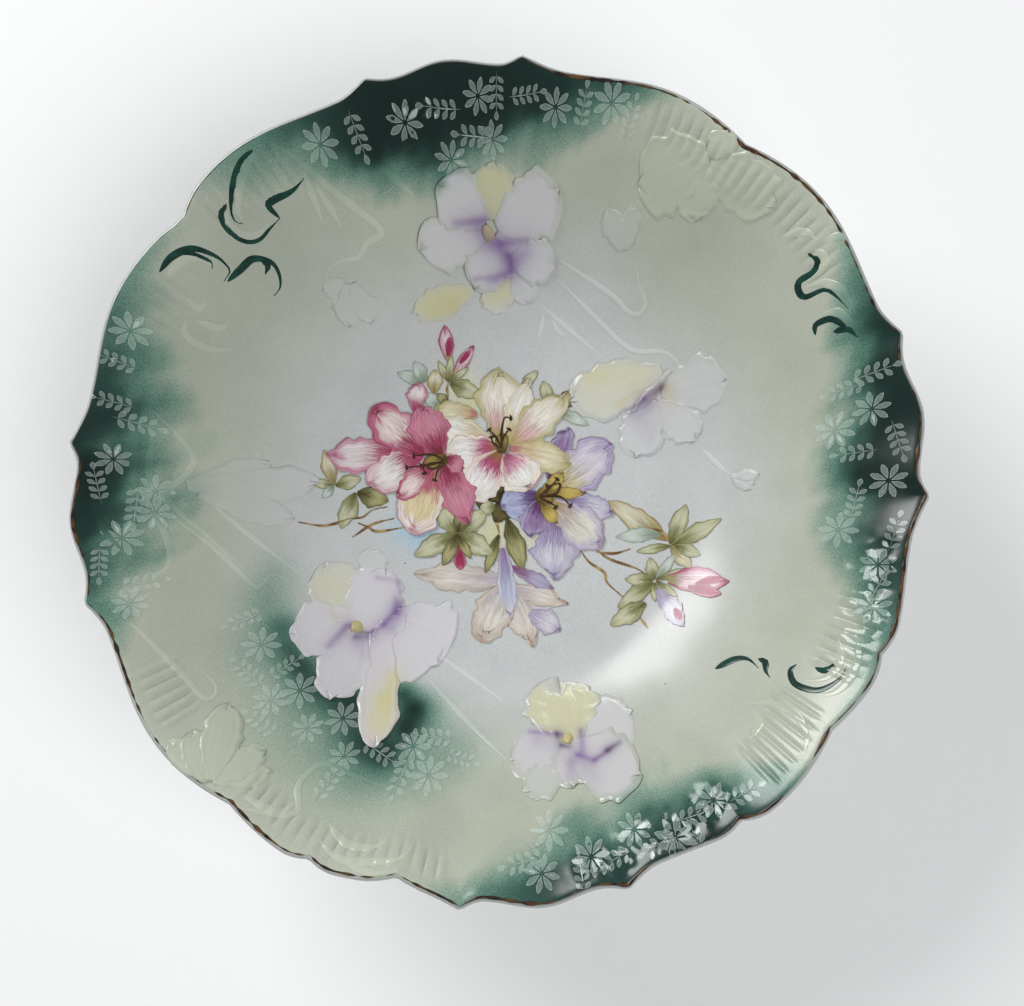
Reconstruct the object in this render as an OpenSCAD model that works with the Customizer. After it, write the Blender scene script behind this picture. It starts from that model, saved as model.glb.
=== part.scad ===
// Porcelain serving bowl with a scalloped rim, relief irises and a painted bouquet.
// Z = 0 is the face of the foot ring, and the axis of the bowl is X = Y = 0.

/* [Bowl] */
// Radius of the bowl at the tips of its rim
rim_r = 134; // [110:1:162]
// Height of the rim above the table, before its edge is rounded
bowl_h = 66; // [54:1:80]
// Thickness of the flat floor
floor_t = 4.4; // [3.4:0.1:6]
// Thickness of the wall at the rim
lip_t = 3; // [2.4:0.1:4]
// Steepness of the wall at the rim, as a share of its mean steepness
rim_flare = 0.8; // [0.5:0.05:1.2]
// Turn of the whole scallop pattern, in degrees
rim_turn = 7; // [0:1:45]

/* [Foot ring] */
// Outer radius of the foot ring where it meets the bowl
foot_r = 56; // [46:1:68]
// Height of the foot ring
foot_h = 5; // [4:0.5:7]
// Width of the foot ring where it meets the bowl
foot_w = 7; // [5:0.5:9]
// How far each side of the foot ring leans in on its way down
foot_lean = 1.4; // [0.5:0.1:1.8]
// Width of the bevel round the resting face
foot_bevel = 0.6; // [0.3:0.1:0.8]

/* [Relief] */
// Glaze between the bowl and what lies on it
seat_gap = 0.2; // [0.2:0.05:0.4]
// Thickness of a petal at its edge
petal_edge = 0.8; // [0.5:0.1:1.2]
// Thickness of a petal at its crown
petal_crown = 2.6; // [1.5:0.1:3.5]
// Height of a bud
bud_crown = 2.2; // [1.2:0.1:3]
// Width of a raised stem
stem_w = 2.2; // [1.4:0.1:2.6]
// Height of a raised stem
stem_h = 1.1; // [0.6:0.1:1.6]
// Width of a raised scroll
scroll_w = 3; // [2:0.1:3.6]
// Height of a raised scroll
scroll_h = 1.6; // [0.8:0.1:2.2]

/* [Colour] */
// Width of a painted stroke
stroke_w = 2.2; // [1.4:0.1:2.6]
// Thickness of the painted enamel
enamel_t = 0.3; // [0.2:0.05:0.5]
// Thickness of one layer of the printed bouquet
print_t = 0.15; // [0.12:0.01:0.25]
// Air between two layers of the printed bouquet
print_gap = 0.05; // [0.03:0.01:0.1]
// Radius of a stencilled daisy
daisy_r = 5.2; // [3:0.1:5.6]
// Distance from the inner edge of the lip to the painted line
line_gap = 1.2; // [1:0.1:3]
// Width of the painted rim line
line_w = 1.3; // [0.8:0.1:2]

/* [Hidden] */

// The ornament is laid out on a disc of this radius, and spreads with the rim.
layout_r = 134;
spread = rim_r / layout_r;

well_r = foot_r;
floor_z = foot_h + floor_t;
rise = bowl_h - floor_z;

// A narrow wall curves more tightly, so what lies on it sits a little higher.
usual_wall = 78;
seat = seat_gap * max(1, pow(usual_wall / (rim_r - well_r), 3));

// Room left between the painted rim line and the ornament inside it.
line_room = 0.4;
under_steps = 8;
wall_steps = 20;
lip_steps = 4;

// One quarter of the rim: degrees from its middle, how far it draws in, and 1 for a sharp corner.
rim_knots = [
    [-11, 0, 1], [-8, 3, 0], [0, 0.4, 0], [7, 2.8, 0], [11, 0.3, 1], [16, 4.2, 0],
    [33, 0.3, 0], [45, 3.8, 1], [57, 0.7, 0], [72, 4.2, 0], [79, 0, 1]
];
// Single nicks in the rim: direction, depth and half width in degrees.
rim_nicks = [[140, 1.7, 5], [245, 2.2, 4], [257, 2.6, 5], [305, 2.4, 4], [334, 2, 5]];
rim_spacing = 3.4;

// Soft folds that run down the wall from the rim: direction and height.
folds = [[18, 0.9], [86, 0.5], [108, 0.7], [197, 0.9], [266, 1], [288, 0.6], [355, 0.5]];
fold_width = 3.5;

function clamp01(t) = min(1, max(0, t));
function ease(t) = t * t * (3 - 2 * t);
function turn_between(a, b) = abs((a - b + 900) % 360 - 180);

// Shape of one stretch of the rim, from 0 to 1, rounded at its smooth ends only.
function rim_blend(t, from_sharp, to_sharp) =
    from_sharp == to_sharp ? (1 - cos(180 * t)) / 2
    : from_sharp == 1 ? sin(90 * t)
    : 1 - cos(90 * t);

function rim_drop(o, i = 0) =
    o <= rim_knots[i + 1][0] || i == len(rim_knots) - 2
    ? let (p = rim_knots[i], q = rim_knots[i + 1], t = clamp01((o - p[0]) / (q[0] - p[0])))
        p[1] + (q[1] - p[1]) * rim_blend(t, p[2], q[2])
    : rim_drop(o, i + 1);

function nick_drop(a, i = 0) =
    i == len(rim_nicks) ? 0
    : rim_nicks[i][1] * pow(clamp01(1 - turn_between(a, rim_nicks[i][0]) / rim_nicks[i][2]), 2)
        + nick_drop(a, i + 1);

function rim_at(a) =
    let (o = (a - rim_turn + 11 + 720) % 90 - 11)
    rim_r - rim_drop(o) - nick_drop(a);

function fold_at(a, i = 0) =
    i == len(folds) ? 0
    : folds[i][1] * exp(-pow(turn_between(a, folds[i][0]) / fold_width, 2)) + fold_at(a, i + 1);

// How far up the wall a point lies: 0 at the edge of the well and 1 at the rim.
function wall_share(r, a) =
    let (q = r / rim_at(a), w = ease(clamp01((q - 0.45) / 0.55)))
    (r * (1 + w * (rim_r / rim_at(a) - 1)) - well_r) / (rim_r - well_r);

function ogee(t) = t * t * (3 - 2 * t) + rim_flare * t * t * (t - 1);
function ogee_slope(t) = 6 * t * (1 - t) + rim_flare * t * (3 * t - 2);

function fold_fade(t) = ease(clamp01((t - 0.25) / 0.5));

// Height of the inside of the bowl.
function inner_z(r, a) =
    let (t = clamp01(wall_share(r, a)))
    floor_z + rise * ogee(t) + fold_at(a) * fold_fade(t) * (1 - ease(clamp01((t - 0.85) / 0.15)));

function seat_z(p) = inner_z(norm(p), atan2(p[1], p[0]));

// Pulls a point in until the ornament there stays inside the rim line.
function held(p, half = 0) =
    let (r = norm(p), limit = inner_end(atan2(p[1], p[0])) - line_gap - line_w - line_room - half)
    r > limit ? p * limit / r : p;

// Directions of the radial sections, closer together where the rim turns sharply.
function quarter_turns() = [
    for (i = [0 : len(rim_knots) - 2])
        let (a = rim_knots[i][0], b = rim_knots[i + 1][0], n = ceil((b - a) / rim_spacing))
        for (k = [0 : n - 1]) a + (b - a) * k / n
];
turns = [for (q = [0 : 3]) for (o = quarter_turns()) rim_turn + 90 * q + o];

// One radial section of the bowl, from the well over the lip and under to the foot.
function wall_t(t) = floor_t + (lip_t - floor_t) * t;
function section_lean(t) = atan(rise * ogee_slope(t) / (rim_r - well_r));
function inner_end(a) = rim_at(a) - lip_t / 2 * (1 + sin(section_lean(1)));
function section_r(t, a) =
    let (end = inner_end(a))
    well_r + (end - well_r) * t;
function inside_point(t, a) =
    let (r = section_r(t, a))
    [r, inner_z(r, a)];
function outside_point(t, a) =
    let (p = inside_point(t, a), lean = section_lean(t))
    [p[0] + wall_t(t) * sin(lean), p[1] - wall_t(t) * cos(lean)];
function lip_point(k, a) =
    let (p = inside_point(1, a), q = outside_point(1, a), m = (p + q) / 2, lean = section_lean(1))
    m + lip_t / 2 * [cos(lean + 90 - 180 * k / lip_steps), sin(lean + 90 - 180 * k / lip_steps)];
function section(a) = concat(
    [for (i = [0 : wall_steps]) inside_point(i / wall_steps, a)],
    [for (k = [1 : lip_steps - 1]) lip_point(k, a)],
    [for (i = [under_steps : -1 : 0]) outside_point(i / under_steps, a)]
);

function around(p, a) = [p[0] * cos(a), p[0] * sin(a), p[1]];

// Triangles between two rings of n points that start at p and q, the second outside the first.
function band(p, q, n) = [
    for (i = [0 : n - 1])
        let (j = (i + 1) % n)
        each [[p + i, q + j, q + i], [p + i, p + j, q + j]]
];

module bowl_body() {
    n = len(turns);
    rings = len(section(0));
    points = concat(
        [for (k = [0 : rings - 1]) for (a = turns) around(section(a)[k], a)],
        [[0, 0, floor_z], [0, 0, foot_h]]
    );
    top = n * rings;
    faces = concat(
        [for (i = [0 : n - 1]) [top, (i + 1) % n, i]],
        [for (k = [0 : rings - 2]) each band(k * n, (k + 1) * n, n)],
        [for (i = [0 : n - 1]) [top + 1, (rings - 1) * n + i, (rings - 1) * n + (i + 1) % n]]
    );
    color("honeydew") polyhedron(points, faces, convexity = 6);
}

module foot_ring() {
    bottom_out = foot_r - foot_lean;
    bottom_in = foot_r - foot_w + foot_lean;
    color("ivory") rotate_extrude($fn = 120) polygon([
        [foot_r - foot_w, foot_h],
        [bottom_in, foot_bevel],
        [bottom_in + foot_bevel, 0],
        [bottom_out - foot_bevel, 0],
        [bottom_out, foot_bevel],
        [foot_r, foot_h]
    ]);
}

module rim_line() {
    n = len(turns);
    function line_point(inward, lift, a) =
        let (r = inner_end(a) - inward)
        [r * cos(a), r * sin(a), inner_z(r, a) + lift];
    corners = [
        [line_gap, seat + enamel_t], [line_gap, seat],
        [line_gap + line_w, seat], [line_gap + line_w, seat + enamel_t]
    ];
    points = [for (c = corners) for (a = turns) line_point(c[0], c[1], a)];
    faces = [for (k = [0 : 3]) each band(k * n, ((k + 1) % 4) * n, n)];
    color("saddlebrown") polyhedron(points, faces, convexity = 6);
}

// A closed pad that lies on the wall. Its outline is a list of [direction, radius] round its middle.
function outline_radius(outline, a, i = 0) =
    let (
        n = len(outline), p = outline[i], q = outline[(i + 1) % n],
        b = i == n - 1 ? q[0] + 360 : q[0]
    )
    a <= b || i == n - 1
    ? p[1] + (q[1] - p[1]) * ease(clamp01((a - p[0]) / (b - p[0])))
    : outline_radius(outline, a, i + 1);

module pad(middle, outline, edge, crown, lift, levels = 3, steps = 2) {
    n = len(outline) * steps;
    angles = [
        for (i = [0 : len(outline) - 1])
            let (a = outline[i][0], b = i == len(outline) - 1 ? outline[0][0] + 360 : outline[i + 1][0])
            for (k = [0 : steps - 1]) a + (b - a) * k / steps
    ];
    function plan(i, s) =
        held(spread * (middle + s * outline_radius(outline, angles[i]) * [cos(angles[i]), sin(angles[i])]));
    function thickness(s) = edge + (crown - edge) * sin(180 * s);
    function spot(p, up) = [p[0], p[1], seat_z(p) + up];
    top = [for (k = [1 : levels]) for (i = [0 : n - 1]) spot(plan(i, k / levels), lift + thickness(k / levels))];
    bottom = [for (k = [levels : -1 : 1]) for (i = [0 : n - 1]) spot(plan(i, k / levels), lift)];
    points = concat(top, bottom, [spot(spread * middle, lift + edge), spot(spread * middle, lift)]);
    last = 2 * levels * n;
    faces = concat(
        [for (i = [0 : n - 1]) [last, (i + 1) % n, i]],
        [for (k = [0 : 2 * levels - 2]) each band(k * n, (k + 1) * n, n)],
        [for (i = [0 : n - 1]) [last + 1, last - n + i, last - n + (i + 1) % n]]
    );
    polyhedron(points, faces, convexity = 6);
}

module iris(middle, outline, levels = 3, steps = 2) {
    pad(middle, outline, petal_edge, petal_crown, seat, levels, steps);
}

module bud(middle, outline) {
    pad(middle, outline, petal_edge, bud_crown, seat);
}

module layer(number, middle, outline) {
    pad(middle, outline, print_t, print_t, seat + number * (print_t + print_gap));
}

module daisy(middle, turned) {
    outline = [for (i = [0 : 15]) [turned + i * 22.5, i % 2 == 0 ? daisy_r / spread : 0.4 * daisy_r / spread]];
    pad(middle, outline, print_t, print_t, seat, levels = 2, steps = 1);
}

// A smooth path through the points: each stretch is cut into a few steps.
function bend(p, t) =
    0.5 * (2 * p[1] + (p[2] - p[0]) * t + (2 * p[0] - 5 * p[1] + 4 * p[2] - p[3]) * t * t
        + (3 * p[1] - p[0] - 3 * p[2] + p[3]) * t * t * t);
function smooth_path(route, steps) = concat(
    [
        for (i = [0 : len(route) - 2]) for (k = [0 : steps - 1])
            bend([
                i == 0 ? 2 * route[0] - route[1] : route[i - 1], route[i], route[i + 1],
                i == len(route) - 2 ? 2 * route[i + 1] - route[i] : route[i + 2]
            ], k / steps)
    ],
    [route[len(route) - 1]]
);

// A raised line along a route: pointed at both ends, with a crown along its middle.
module ridge(route, width, height, steps = 3, tail = 0.2) {
    path = [for (p = smooth_path(route, steps)) held(spread * p, width / 2)];
    n = len(path);
    function swell(i) = max(tail, sin(180 * pow(i / (n - 1), 0.8)));
    function side(i) =
        let (d = path[min(n - 1, i + 1)] - path[max(0, i - 1)])
        [-d[1], d[0]] / norm(d);
    function spot(p, up) = [p[0], p[1], seat_z(p) + up];
    points = [
        for (i = [0 : n - 1])
            let (half = width / 2 * swell(i) * side(i))
            each [spot(path[i] - half, seat), spot(path[i] + half, seat), spot(path[i], seat + height)]
    ];
    faces = concat(
        [[0, 1, 2], [3 * n - 1, 3 * n - 2, 3 * n - 3]],
        [
            for (i = [0 : n - 2]) for (k = [0 : 2])
                let (a = 3 * i + k, b = 3 * i + (k + 1) % 3)
                each [[a, a + 3, b], [b, a + 3, b + 3]]
        ]
    );
    polyhedron(points, faces, convexity = 6);
}

module stem(route) {
    ridge(route, stem_w, stem_h);
}

module scroll(route) {
    ridge(route, scroll_w, scroll_h);
}

module stroke(route) {
    ridge(route, stroke_w, enamel_t);
}

module twig(route) {
    ridge(route, 1.2, print_t, steps = 1);
}

// Sprigged flowers, each with its middle on the layout disc.
module iris_top() {
    color("lavender") iris([-4, 87], [
        [0, 22], [16, 27], [32, 25], [48, 15], [77, 19], [98, 18], [112, 12], [125, 18], [146, 20], [168, 21],
        [188, 26], [203, 22], [218, 38], [234, 35], [254, 27], [285, 25], [306, 28], [322, 22], [340, 23]
    ]);
}

module iris_right() {
    color("ivory") iris([47, 28], [
        [0, 25], [14, 30], [41, 22], [68, 17], [100, 13], [119, 15], [143, 28], [168, 25],
        [192, 23], [236, 13], [292, 17], [331, 22]
    ]);
}

module iris_lower_left() {
    color("lavenderblush") iris([-50, -46], [
        [10, 28], [28, 24], [51, 23], [79, 26], [106, 23], [131, 22], [165, 20], [183, 20], [207, 17],
        [238, 20], [256, 22], [270, 35], [281, 38], [294, 34], [312, 35], [330, 30], [349, 30]
    ]);
}

module iris_bottom() {
    color("lightyellow") iris([23, -83], [
        [34, 21], [61, 18], [101, 20], [129, 22], [153, 20], [180, 12], [215, 22], [238, 23],
        [267, 18], [301, 18], [333, 24], [354, 17]
    ]);
}

module iris_left() {
    color("white") iris([-85, -1], [[15, 19], [70, 8], [145, 11], [183, 15], [225, 12], [307, 10], [354, 19]]);
}

module iris_rim_upper_right() {
    color("honeydew") iris([67, 97], [
        [14, 7], [74, 6], [129, 9], [167, 18], [205, 10], [247, 9], [290, 11], [312, 18], [326, 22], [341, 18]
    ], levels = 8, steps = 3);
}

module iris_rim_lower_left() {
    color("honeydew") iris([-80, -84], [
        [6, 9], [50, 9], [95, 12], [145, 11], [190, 7], [241, 10], [282, 12], [315, 14]
    ], levels = 7, steps = 3);
}

module bud_upper_left() {
    color("white") bud([-52, 67], [[20, 4], [90, 7], [160, 4], [225, 6], [270, 9], [315, 6]]);
}

module bud_upper_right() {
    color("white") bud([40, 85], [[30, 4], [90, 8], [150, 5], [225, 6], [270, 7], [315, 4]]);
}

module bud_right() {
    color("white") bud([81, 2], [[0, 5], [60, 4], [120, 3], [180, 3], [240, 4], [300, 5]]);
}

module stems_right() {
    color("white") {
        stem([[20, 57], [29, 52], [43, 46]]);
        stem([[24, 62], [35, 59], [46, 49], [55, 47]]);
        stem([[44, 77], [48, 72], [48, 65], [44, 60]]);
        stem([[72, 12], [74, 9], [77, 5]]);
    }
}

module stems_left() {
    color("white") {
        stem([[-99, -8], [-93, -18], [-80, -25]]);
        stem([[-103, -14], [-96, -24], [-83, -32], [-76, -31]]);
        stem([[-113, 20], [-108, 18], [-102, 11], [-103, 4]]);
        stem([[-119, -29], [-113, -31], [-107, -32], [-105, -26], [-108, -18]]);
        stem([[-111, 14], [-112, 3], [-111, -8]]);
    }
}

module stems_lower() {
    color("white") {
        stem([[-15, -66], [-5, -76], [2, -88]]);
        stem([[-112, -48], [-103, -58], [-93, -69], [-91, -74]]);
        stem([[-62, -96], [-53, -91], [-43, -94], [-33, -100]]);
    }
}

// Raised scrolls that frame the fluted fields below the rim.
module scrolls_upper_left() {
    color("honeydew") {
        scroll([[-76, 95], [-79, 90], [-79, 85]]);
        scroll([[-92, 84], [-90, 78], [-83, 74.5]]);
        scroll([[-104, 61], [-98, 67], [-92, 67]]);
    }
}

module scrolls_upper_right() {
    color("honeydew") {
        scroll([[107, 67], [105, 64], [103, 62]]);
        scroll([[98, 48], [99, 52], [104, 53]]);
        scroll([[92, 74], [99, 75], [103, 71]]);
    }
}

module scrolls_lower_right() {
    color("honeydew") {
        scroll([[112, -55], [110, -63], [103, -69], [95, -71], [89, -68]]);
        scroll([[84, -66], [81, -73], [85, -81], [92, -84]]);
    }
}

module scrolls_lower_left() {
    color("honeydew") {
        scroll([[-52, -106], [-47, -112], [-42, -114], [-36, -113], [-33, -110]]);
        scroll([[-76, -100], [-66, -105], [-61, -102]]);
    }
}

module painted_scrolls_upper_left() {
    color("darkgreen") {
        stroke([[-74, 100], [-80, 96.5], [-83, 92], [-84, 88], [-83, 83]]);
        stroke([[-88, 89], [-89, 83], [-87, 78.5], [-81, 78], [-75, 82], [-70, 87]]);
        stroke([[-73, 90], [-68, 92], [-64, 97]]);
        stroke([[-106, 65], [-101, 70], [-96, 72], [-91, 71], [-89, 65]]);
        stroke([[-86, 66], [-83, 71], [-78, 73], [-73, 70], [-75, 63]]);
    }
}

module painted_scrolls_right() {
    color("darkgreen") {
        stroke([[100, 69], [102, 65], [99, 61], [97, 58], [104, 58], [109, 54], [112, 49]]);
        stroke([[102, 43], [103, 47], [106, 48], [110, 45], [114, 41]]);
    }
}

module painted_scrolls_lower_right() {
    color("darkgreen") {
        stroke([[69, -61], [73, -58], [77, -58], [83, -60], [85, -63]]);
        stroke([[107, -57], [105, -61], [101, -64], [96, -66], [92, -65], [93, -60]]);
    }
}

// The printed bouquet: each bloom is one colour layer, and the later ones lie on the earlier.
module print_twigs() {
    color("peru") {
        twig([[-69, -11], [-60, -12], [-48, -6], [-40, -5]]);
        twig([[27, -23], [34, -27], [39, -34]]);
    }
}

module print_leaves() {
    color("yellowgreen") {
        layer(0, [-48, 5], [[0, 8], [60, 10], [135, 14], [160, 20], [190, 8], [240, 14], [290, 7]]);
        layer(0, [-14, -19], [[0, 12], [50, 9], [110, 7], [150, 12], [195, 17], [235, 9], [275, 12], [330, 15]]);
        layer(0, [-24, 42], [[0, 13], [30, 5], [60, 3], [110, 6], [170, 12], [230, 6], [300, 6]]);
    }
}

module print_violet_bloom() {
    color("plum") layer(1, [17, -4], [
        [10, 17], [35, 25], [60, 24], [95, 15], [150, 9], [200, 10], [255, 13], [275, 21],
        [300, 27], [325, 20], [350, 23]
    ]);
}

module print_white_bloom() {
    color("floralwhite") layer(2, [-1, 18], [
        [0, 20], [35, 23], [60, 18], [85, 22], [115, 25], [150, 26], [180, 19], [215, 15],
        [250, 17], [290, 18], [330, 20]
    ]);
}

module print_pink_bloom() {
    color("palevioletred") layer(3, [-27, 11], [
        [0, 15], [35, 16], [70, 18], [105, 25], [130, 22], [165, 27], [185, 29], [215, 20],
        [250, 24], [285, 21], [330, 18]
    ]);
}

module print_hanging_bloom() {
    color("wheat") layer(1, [-3, -38], [
        [0, 17], [30, 21], [75, 18], [110, 15], [165, 14], [200, 18], [225, 16], [270, 12], [305, 18], [325, 22]
    ]);
}

module print_right_sprig() {
    color("darkseagreen") {
        layer(0, [54, -13], [[0, 16], [40, 8], [100, 8], [150, 18], [210, 8], [270, 7], [320, 14]]);
        layer(0, [52, -37], [[0, 11], [35, 10], [70, 9], [115, 9], [160, 9], [205, 15], [270, 6], [320, 11]]);
    }
}

module print_pink_buds() {
    color("hotpink") {
        layer(1, [-18, 52], [[20, 5], [80, 5], [120, 7], [200, 4], [260, 4], [320, 4]]);
        layer(1, [70, -31], [[30, 6], [90, 3], [160, 5], [210, 5], [270, 3], [330, 5]]);
    }
}

// Stencilled daisies, left pale in the dark borders.
module daisies(places) {
    color("lightcyan")
        for (i = [0 : len(places) - 1])
            daisy(places[i], 7 * i);
}

module stencil_top() {
    daisies([[-54, 105], [-29, 115], [-9, 121], [-1, 111.5], [20, 117], [38, 113]]);
}

module stencil_right() {
    daisies([[118, 18], [107, 14], [121, -5], [108, -17], [117, -29]]);
}

module stencil_left() {
    daisies([[-113, 46], [-119, 11.5], [-118, -20], [-112, -40]]);
}

module stencil_bottom() {
    daisies([[17, -111], [44, -108], [53, -94], [58, -105]]);
}

module stencil_lower_left() {
    daisies([[-80, -56], [-71, -70], [-60, -79], [-22, -94]]);
}

bowl_body();
foot_ring();
rim_line();
iris_top();
iris_right();
iris_lower_left();
iris_bottom();
iris_left();
iris_rim_upper_right();
iris_rim_lower_left();
bud_upper_left();
bud_upper_right();
bud_right();
stems_right();
stems_left();
stems_lower();
scrolls_upper_left();
scrolls_upper_right();
scrolls_lower_right();
scrolls_lower_left();
painted_scrolls_upper_left();
painted_scrolls_right();
painted_scrolls_lower_right();
print_twigs();
print_leaves();
print_violet_bloom();
print_white_bloom();
print_pink_bloom();
print_hanging_bloom();
print_right_sprig();
print_pink_buds();
stencil_top();
stencil_right();
stencil_left();
stencil_bottom();
stencil_lower_left();
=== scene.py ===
import math

import bpy
import numpy as np
from mathutils import Matrix, Vector


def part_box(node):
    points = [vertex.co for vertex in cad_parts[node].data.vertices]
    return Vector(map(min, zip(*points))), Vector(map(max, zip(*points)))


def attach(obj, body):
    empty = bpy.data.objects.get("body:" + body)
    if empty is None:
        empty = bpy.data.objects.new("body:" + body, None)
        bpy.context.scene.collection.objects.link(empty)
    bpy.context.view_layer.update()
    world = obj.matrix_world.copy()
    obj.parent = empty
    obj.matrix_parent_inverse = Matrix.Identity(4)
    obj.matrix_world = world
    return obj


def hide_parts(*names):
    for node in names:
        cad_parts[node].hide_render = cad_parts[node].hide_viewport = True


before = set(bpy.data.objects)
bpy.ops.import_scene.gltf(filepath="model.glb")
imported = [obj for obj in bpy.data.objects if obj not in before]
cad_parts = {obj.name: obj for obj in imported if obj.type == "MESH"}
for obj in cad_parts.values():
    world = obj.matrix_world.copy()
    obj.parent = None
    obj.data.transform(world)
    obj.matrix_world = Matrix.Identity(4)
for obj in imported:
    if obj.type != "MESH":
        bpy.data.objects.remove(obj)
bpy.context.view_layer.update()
print("frame loaded")

# Where the bowl stands: the middle and the underside of its foot ring.
footLow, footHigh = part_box("foot_ring")
bodyLow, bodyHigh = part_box("bowl_body")
middle = np.array([(footLow.x + footHigh.x) / 2, (footLow.y + footHigh.y) / 2, footLow.z])

# The bowl, in millimetres and degrees from its middle.
bowl = {
    "rim": 134.0,
    "height": 66.0,
    "foot": (footHigh.x - footLow.x) * 500,
    "footHeight": 5.0,
    "floor": 4.4,
    "lip": 3.0,
    "flare": 0.8,
    "turn": 7.0,
    # one quarter of the rim: degrees, how far it draws in, and if it is a sharp corner
    "quarter": [
        (-11, 0, 1), (-8, 3, 0), (0, 0.4, 0), (7, 2.8, 0), (11, 0.3, 1), (16, 4.2, 0),
        (33, 0.3, 0), (45, 3.8, 1), (57, 0.7, 0), (72, 4.2, 0), (79, 0, 1),
    ],
    # direction, depth and half width of each nick in the rim
    "nicks": [(140, 1.7, 5), (245, 2.2, 4), (257, 2.6, 5), (305, 2.4, 4), (334, 2, 5)],
    # direction and height of each soft fold down the wall
    "folds": [(18, 0.9), (86, 0.5), (108, 0.7), (197, 0.9), (266, 1), (288, 0.6), (355, 0.5)],
    "foldWidth": 3.5,
    "aroundWell": 256,
    "aroundWall": 512,
    "aroundRim": 2048,
}
floorZ = bowl["footHeight"] + bowl["floor"]
rise = bowl["height"] - floorZ


def ease(t):
    t = np.clip(t, 0, 1)
    return t * t * (3 - 2 * t)


def mix(a, b, t):
    t = np.asarray(t)[..., None] if np.ndim(a) and np.ndim(t) else t
    return a + (b - a) * t


def rimDrop(o):
    for (a, da, sharpA), (b, db, sharpB) in zip(bowl["quarter"][:-1], bowl["quarter"][1:]):
        if a <= o <= b:
            t = (o - a) / (b - a)
            if sharpA == sharpB:
                e = (1 - math.cos(math.pi * t)) / 2
            elif sharpA:
                e = math.sin(math.pi / 2 * t)
            else:
                e = 1 - math.cos(math.pi / 2 * t)
            return da + (db - da) * e
    return 0.0


def rimOnce(a):
    drop = rimDrop((a - bowl["turn"] + 11) % 90 - 11)
    for direction, depth, half in bowl["nicks"]:
        off = abs((a - direction + 180) % 360 - 180)
        drop += depth * max(0, 1 - off / half) ** 2
    return bowl["rim"] - drop


rimTable = np.array([rimOnce(k / 8) for k in range(2881)])


def rimAt(a):
    return np.interp(np.mod(a, 360) * 8, np.arange(2881), rimTable)


softShare = np.exp(-(np.arange(-48, 49) / 8 / 2.6) ** 2)
softRim = np.convolve(np.concatenate([rimTable[-49:-1], rimTable, rimTable[1:49]]),
    softShare / softShare.sum(), "valid")


def rimWithin(r, a):
    # the sharp corners of the rim run out within a few millimetres of it
    hard = rimAt(a)
    soft = np.interp(np.mod(a, 360) * 8, np.arange(2881), softRim)
    return hard + (soft - hard) * ease((1 - r / hard) / 0.07)


def foldAt(a):
    total = np.zeros_like(a)
    for direction, height in bowl["folds"]:
        off = np.abs(np.mod(a - direction + 180, 360) - 180)
        total += height * np.exp(-(off / bowl["foldWidth"]) ** 2)
    return total


def ogee(t):
    return t * t * (3 - 2 * t) + bowl["flare"] * t * t * (t - 1)


def leanAt(t):
    slope = 6 * t * (1 - t) + bowl["flare"] * t * (3 * t - 2)
    return np.arctan(rise * slope / (bowl["rim"] - bowl["foot"]))


def innerZ(r, a):
    rim = rimWithin(r, a)
    w = ease((r / rim - 0.45) / 0.55)
    t = (r * (1 + w * (bowl["rim"] / rim - 1)) - bowl["foot"]) / (bowl["rim"] - bowl["foot"])
    t = np.clip(t, 0, 1)
    fold = foldAt(a) * ease((t - 0.25) / 0.5) * (1 - ease((t - 0.85) / 0.15))
    return floorZ + rise * ogee(t) + fold


def innerEnd(a):
    return rimAt(a) - bowl["lip"] / 2 * (1 + math.sin(leanAt(1)))


# The layout grows with the CAD rim if that ever changes.
ownSpan = 2 * np.max(rimAt(np.arange(0, 360, 0.5)) * np.cos(np.radians(np.arange(0, 360, 0.5))))
spread = (bodyHigh.x - bodyLow.x) * 1000 / ownSpan


def toFrame(points):
    out = np.asarray(points, float) * 0.001
    out[:, :2] *= spread
    return out + middle


def softNoise(x, y, size, seed):
    rng = np.random.default_rng(seed)
    total = np.zeros_like(np.asarray(x, float))
    for k in range(7):
        d = rng.uniform(0, 2 * math.pi)
        f = 2 * math.pi / size * rng.uniform(0.5, 1.8)
        total += np.sin((x * math.cos(d) + y * math.sin(d)) * f + rng.uniform(0, 6.3))
    return total / 3.2


def paint(r, g, b):
    c = np.array([r, g, b]) / 255
    c = np.where(c <= 0.04045, c / 12.92, ((c + 0.055) / 1.055) ** 2.4)
    return np.minimum(c, 0.9)


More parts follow.
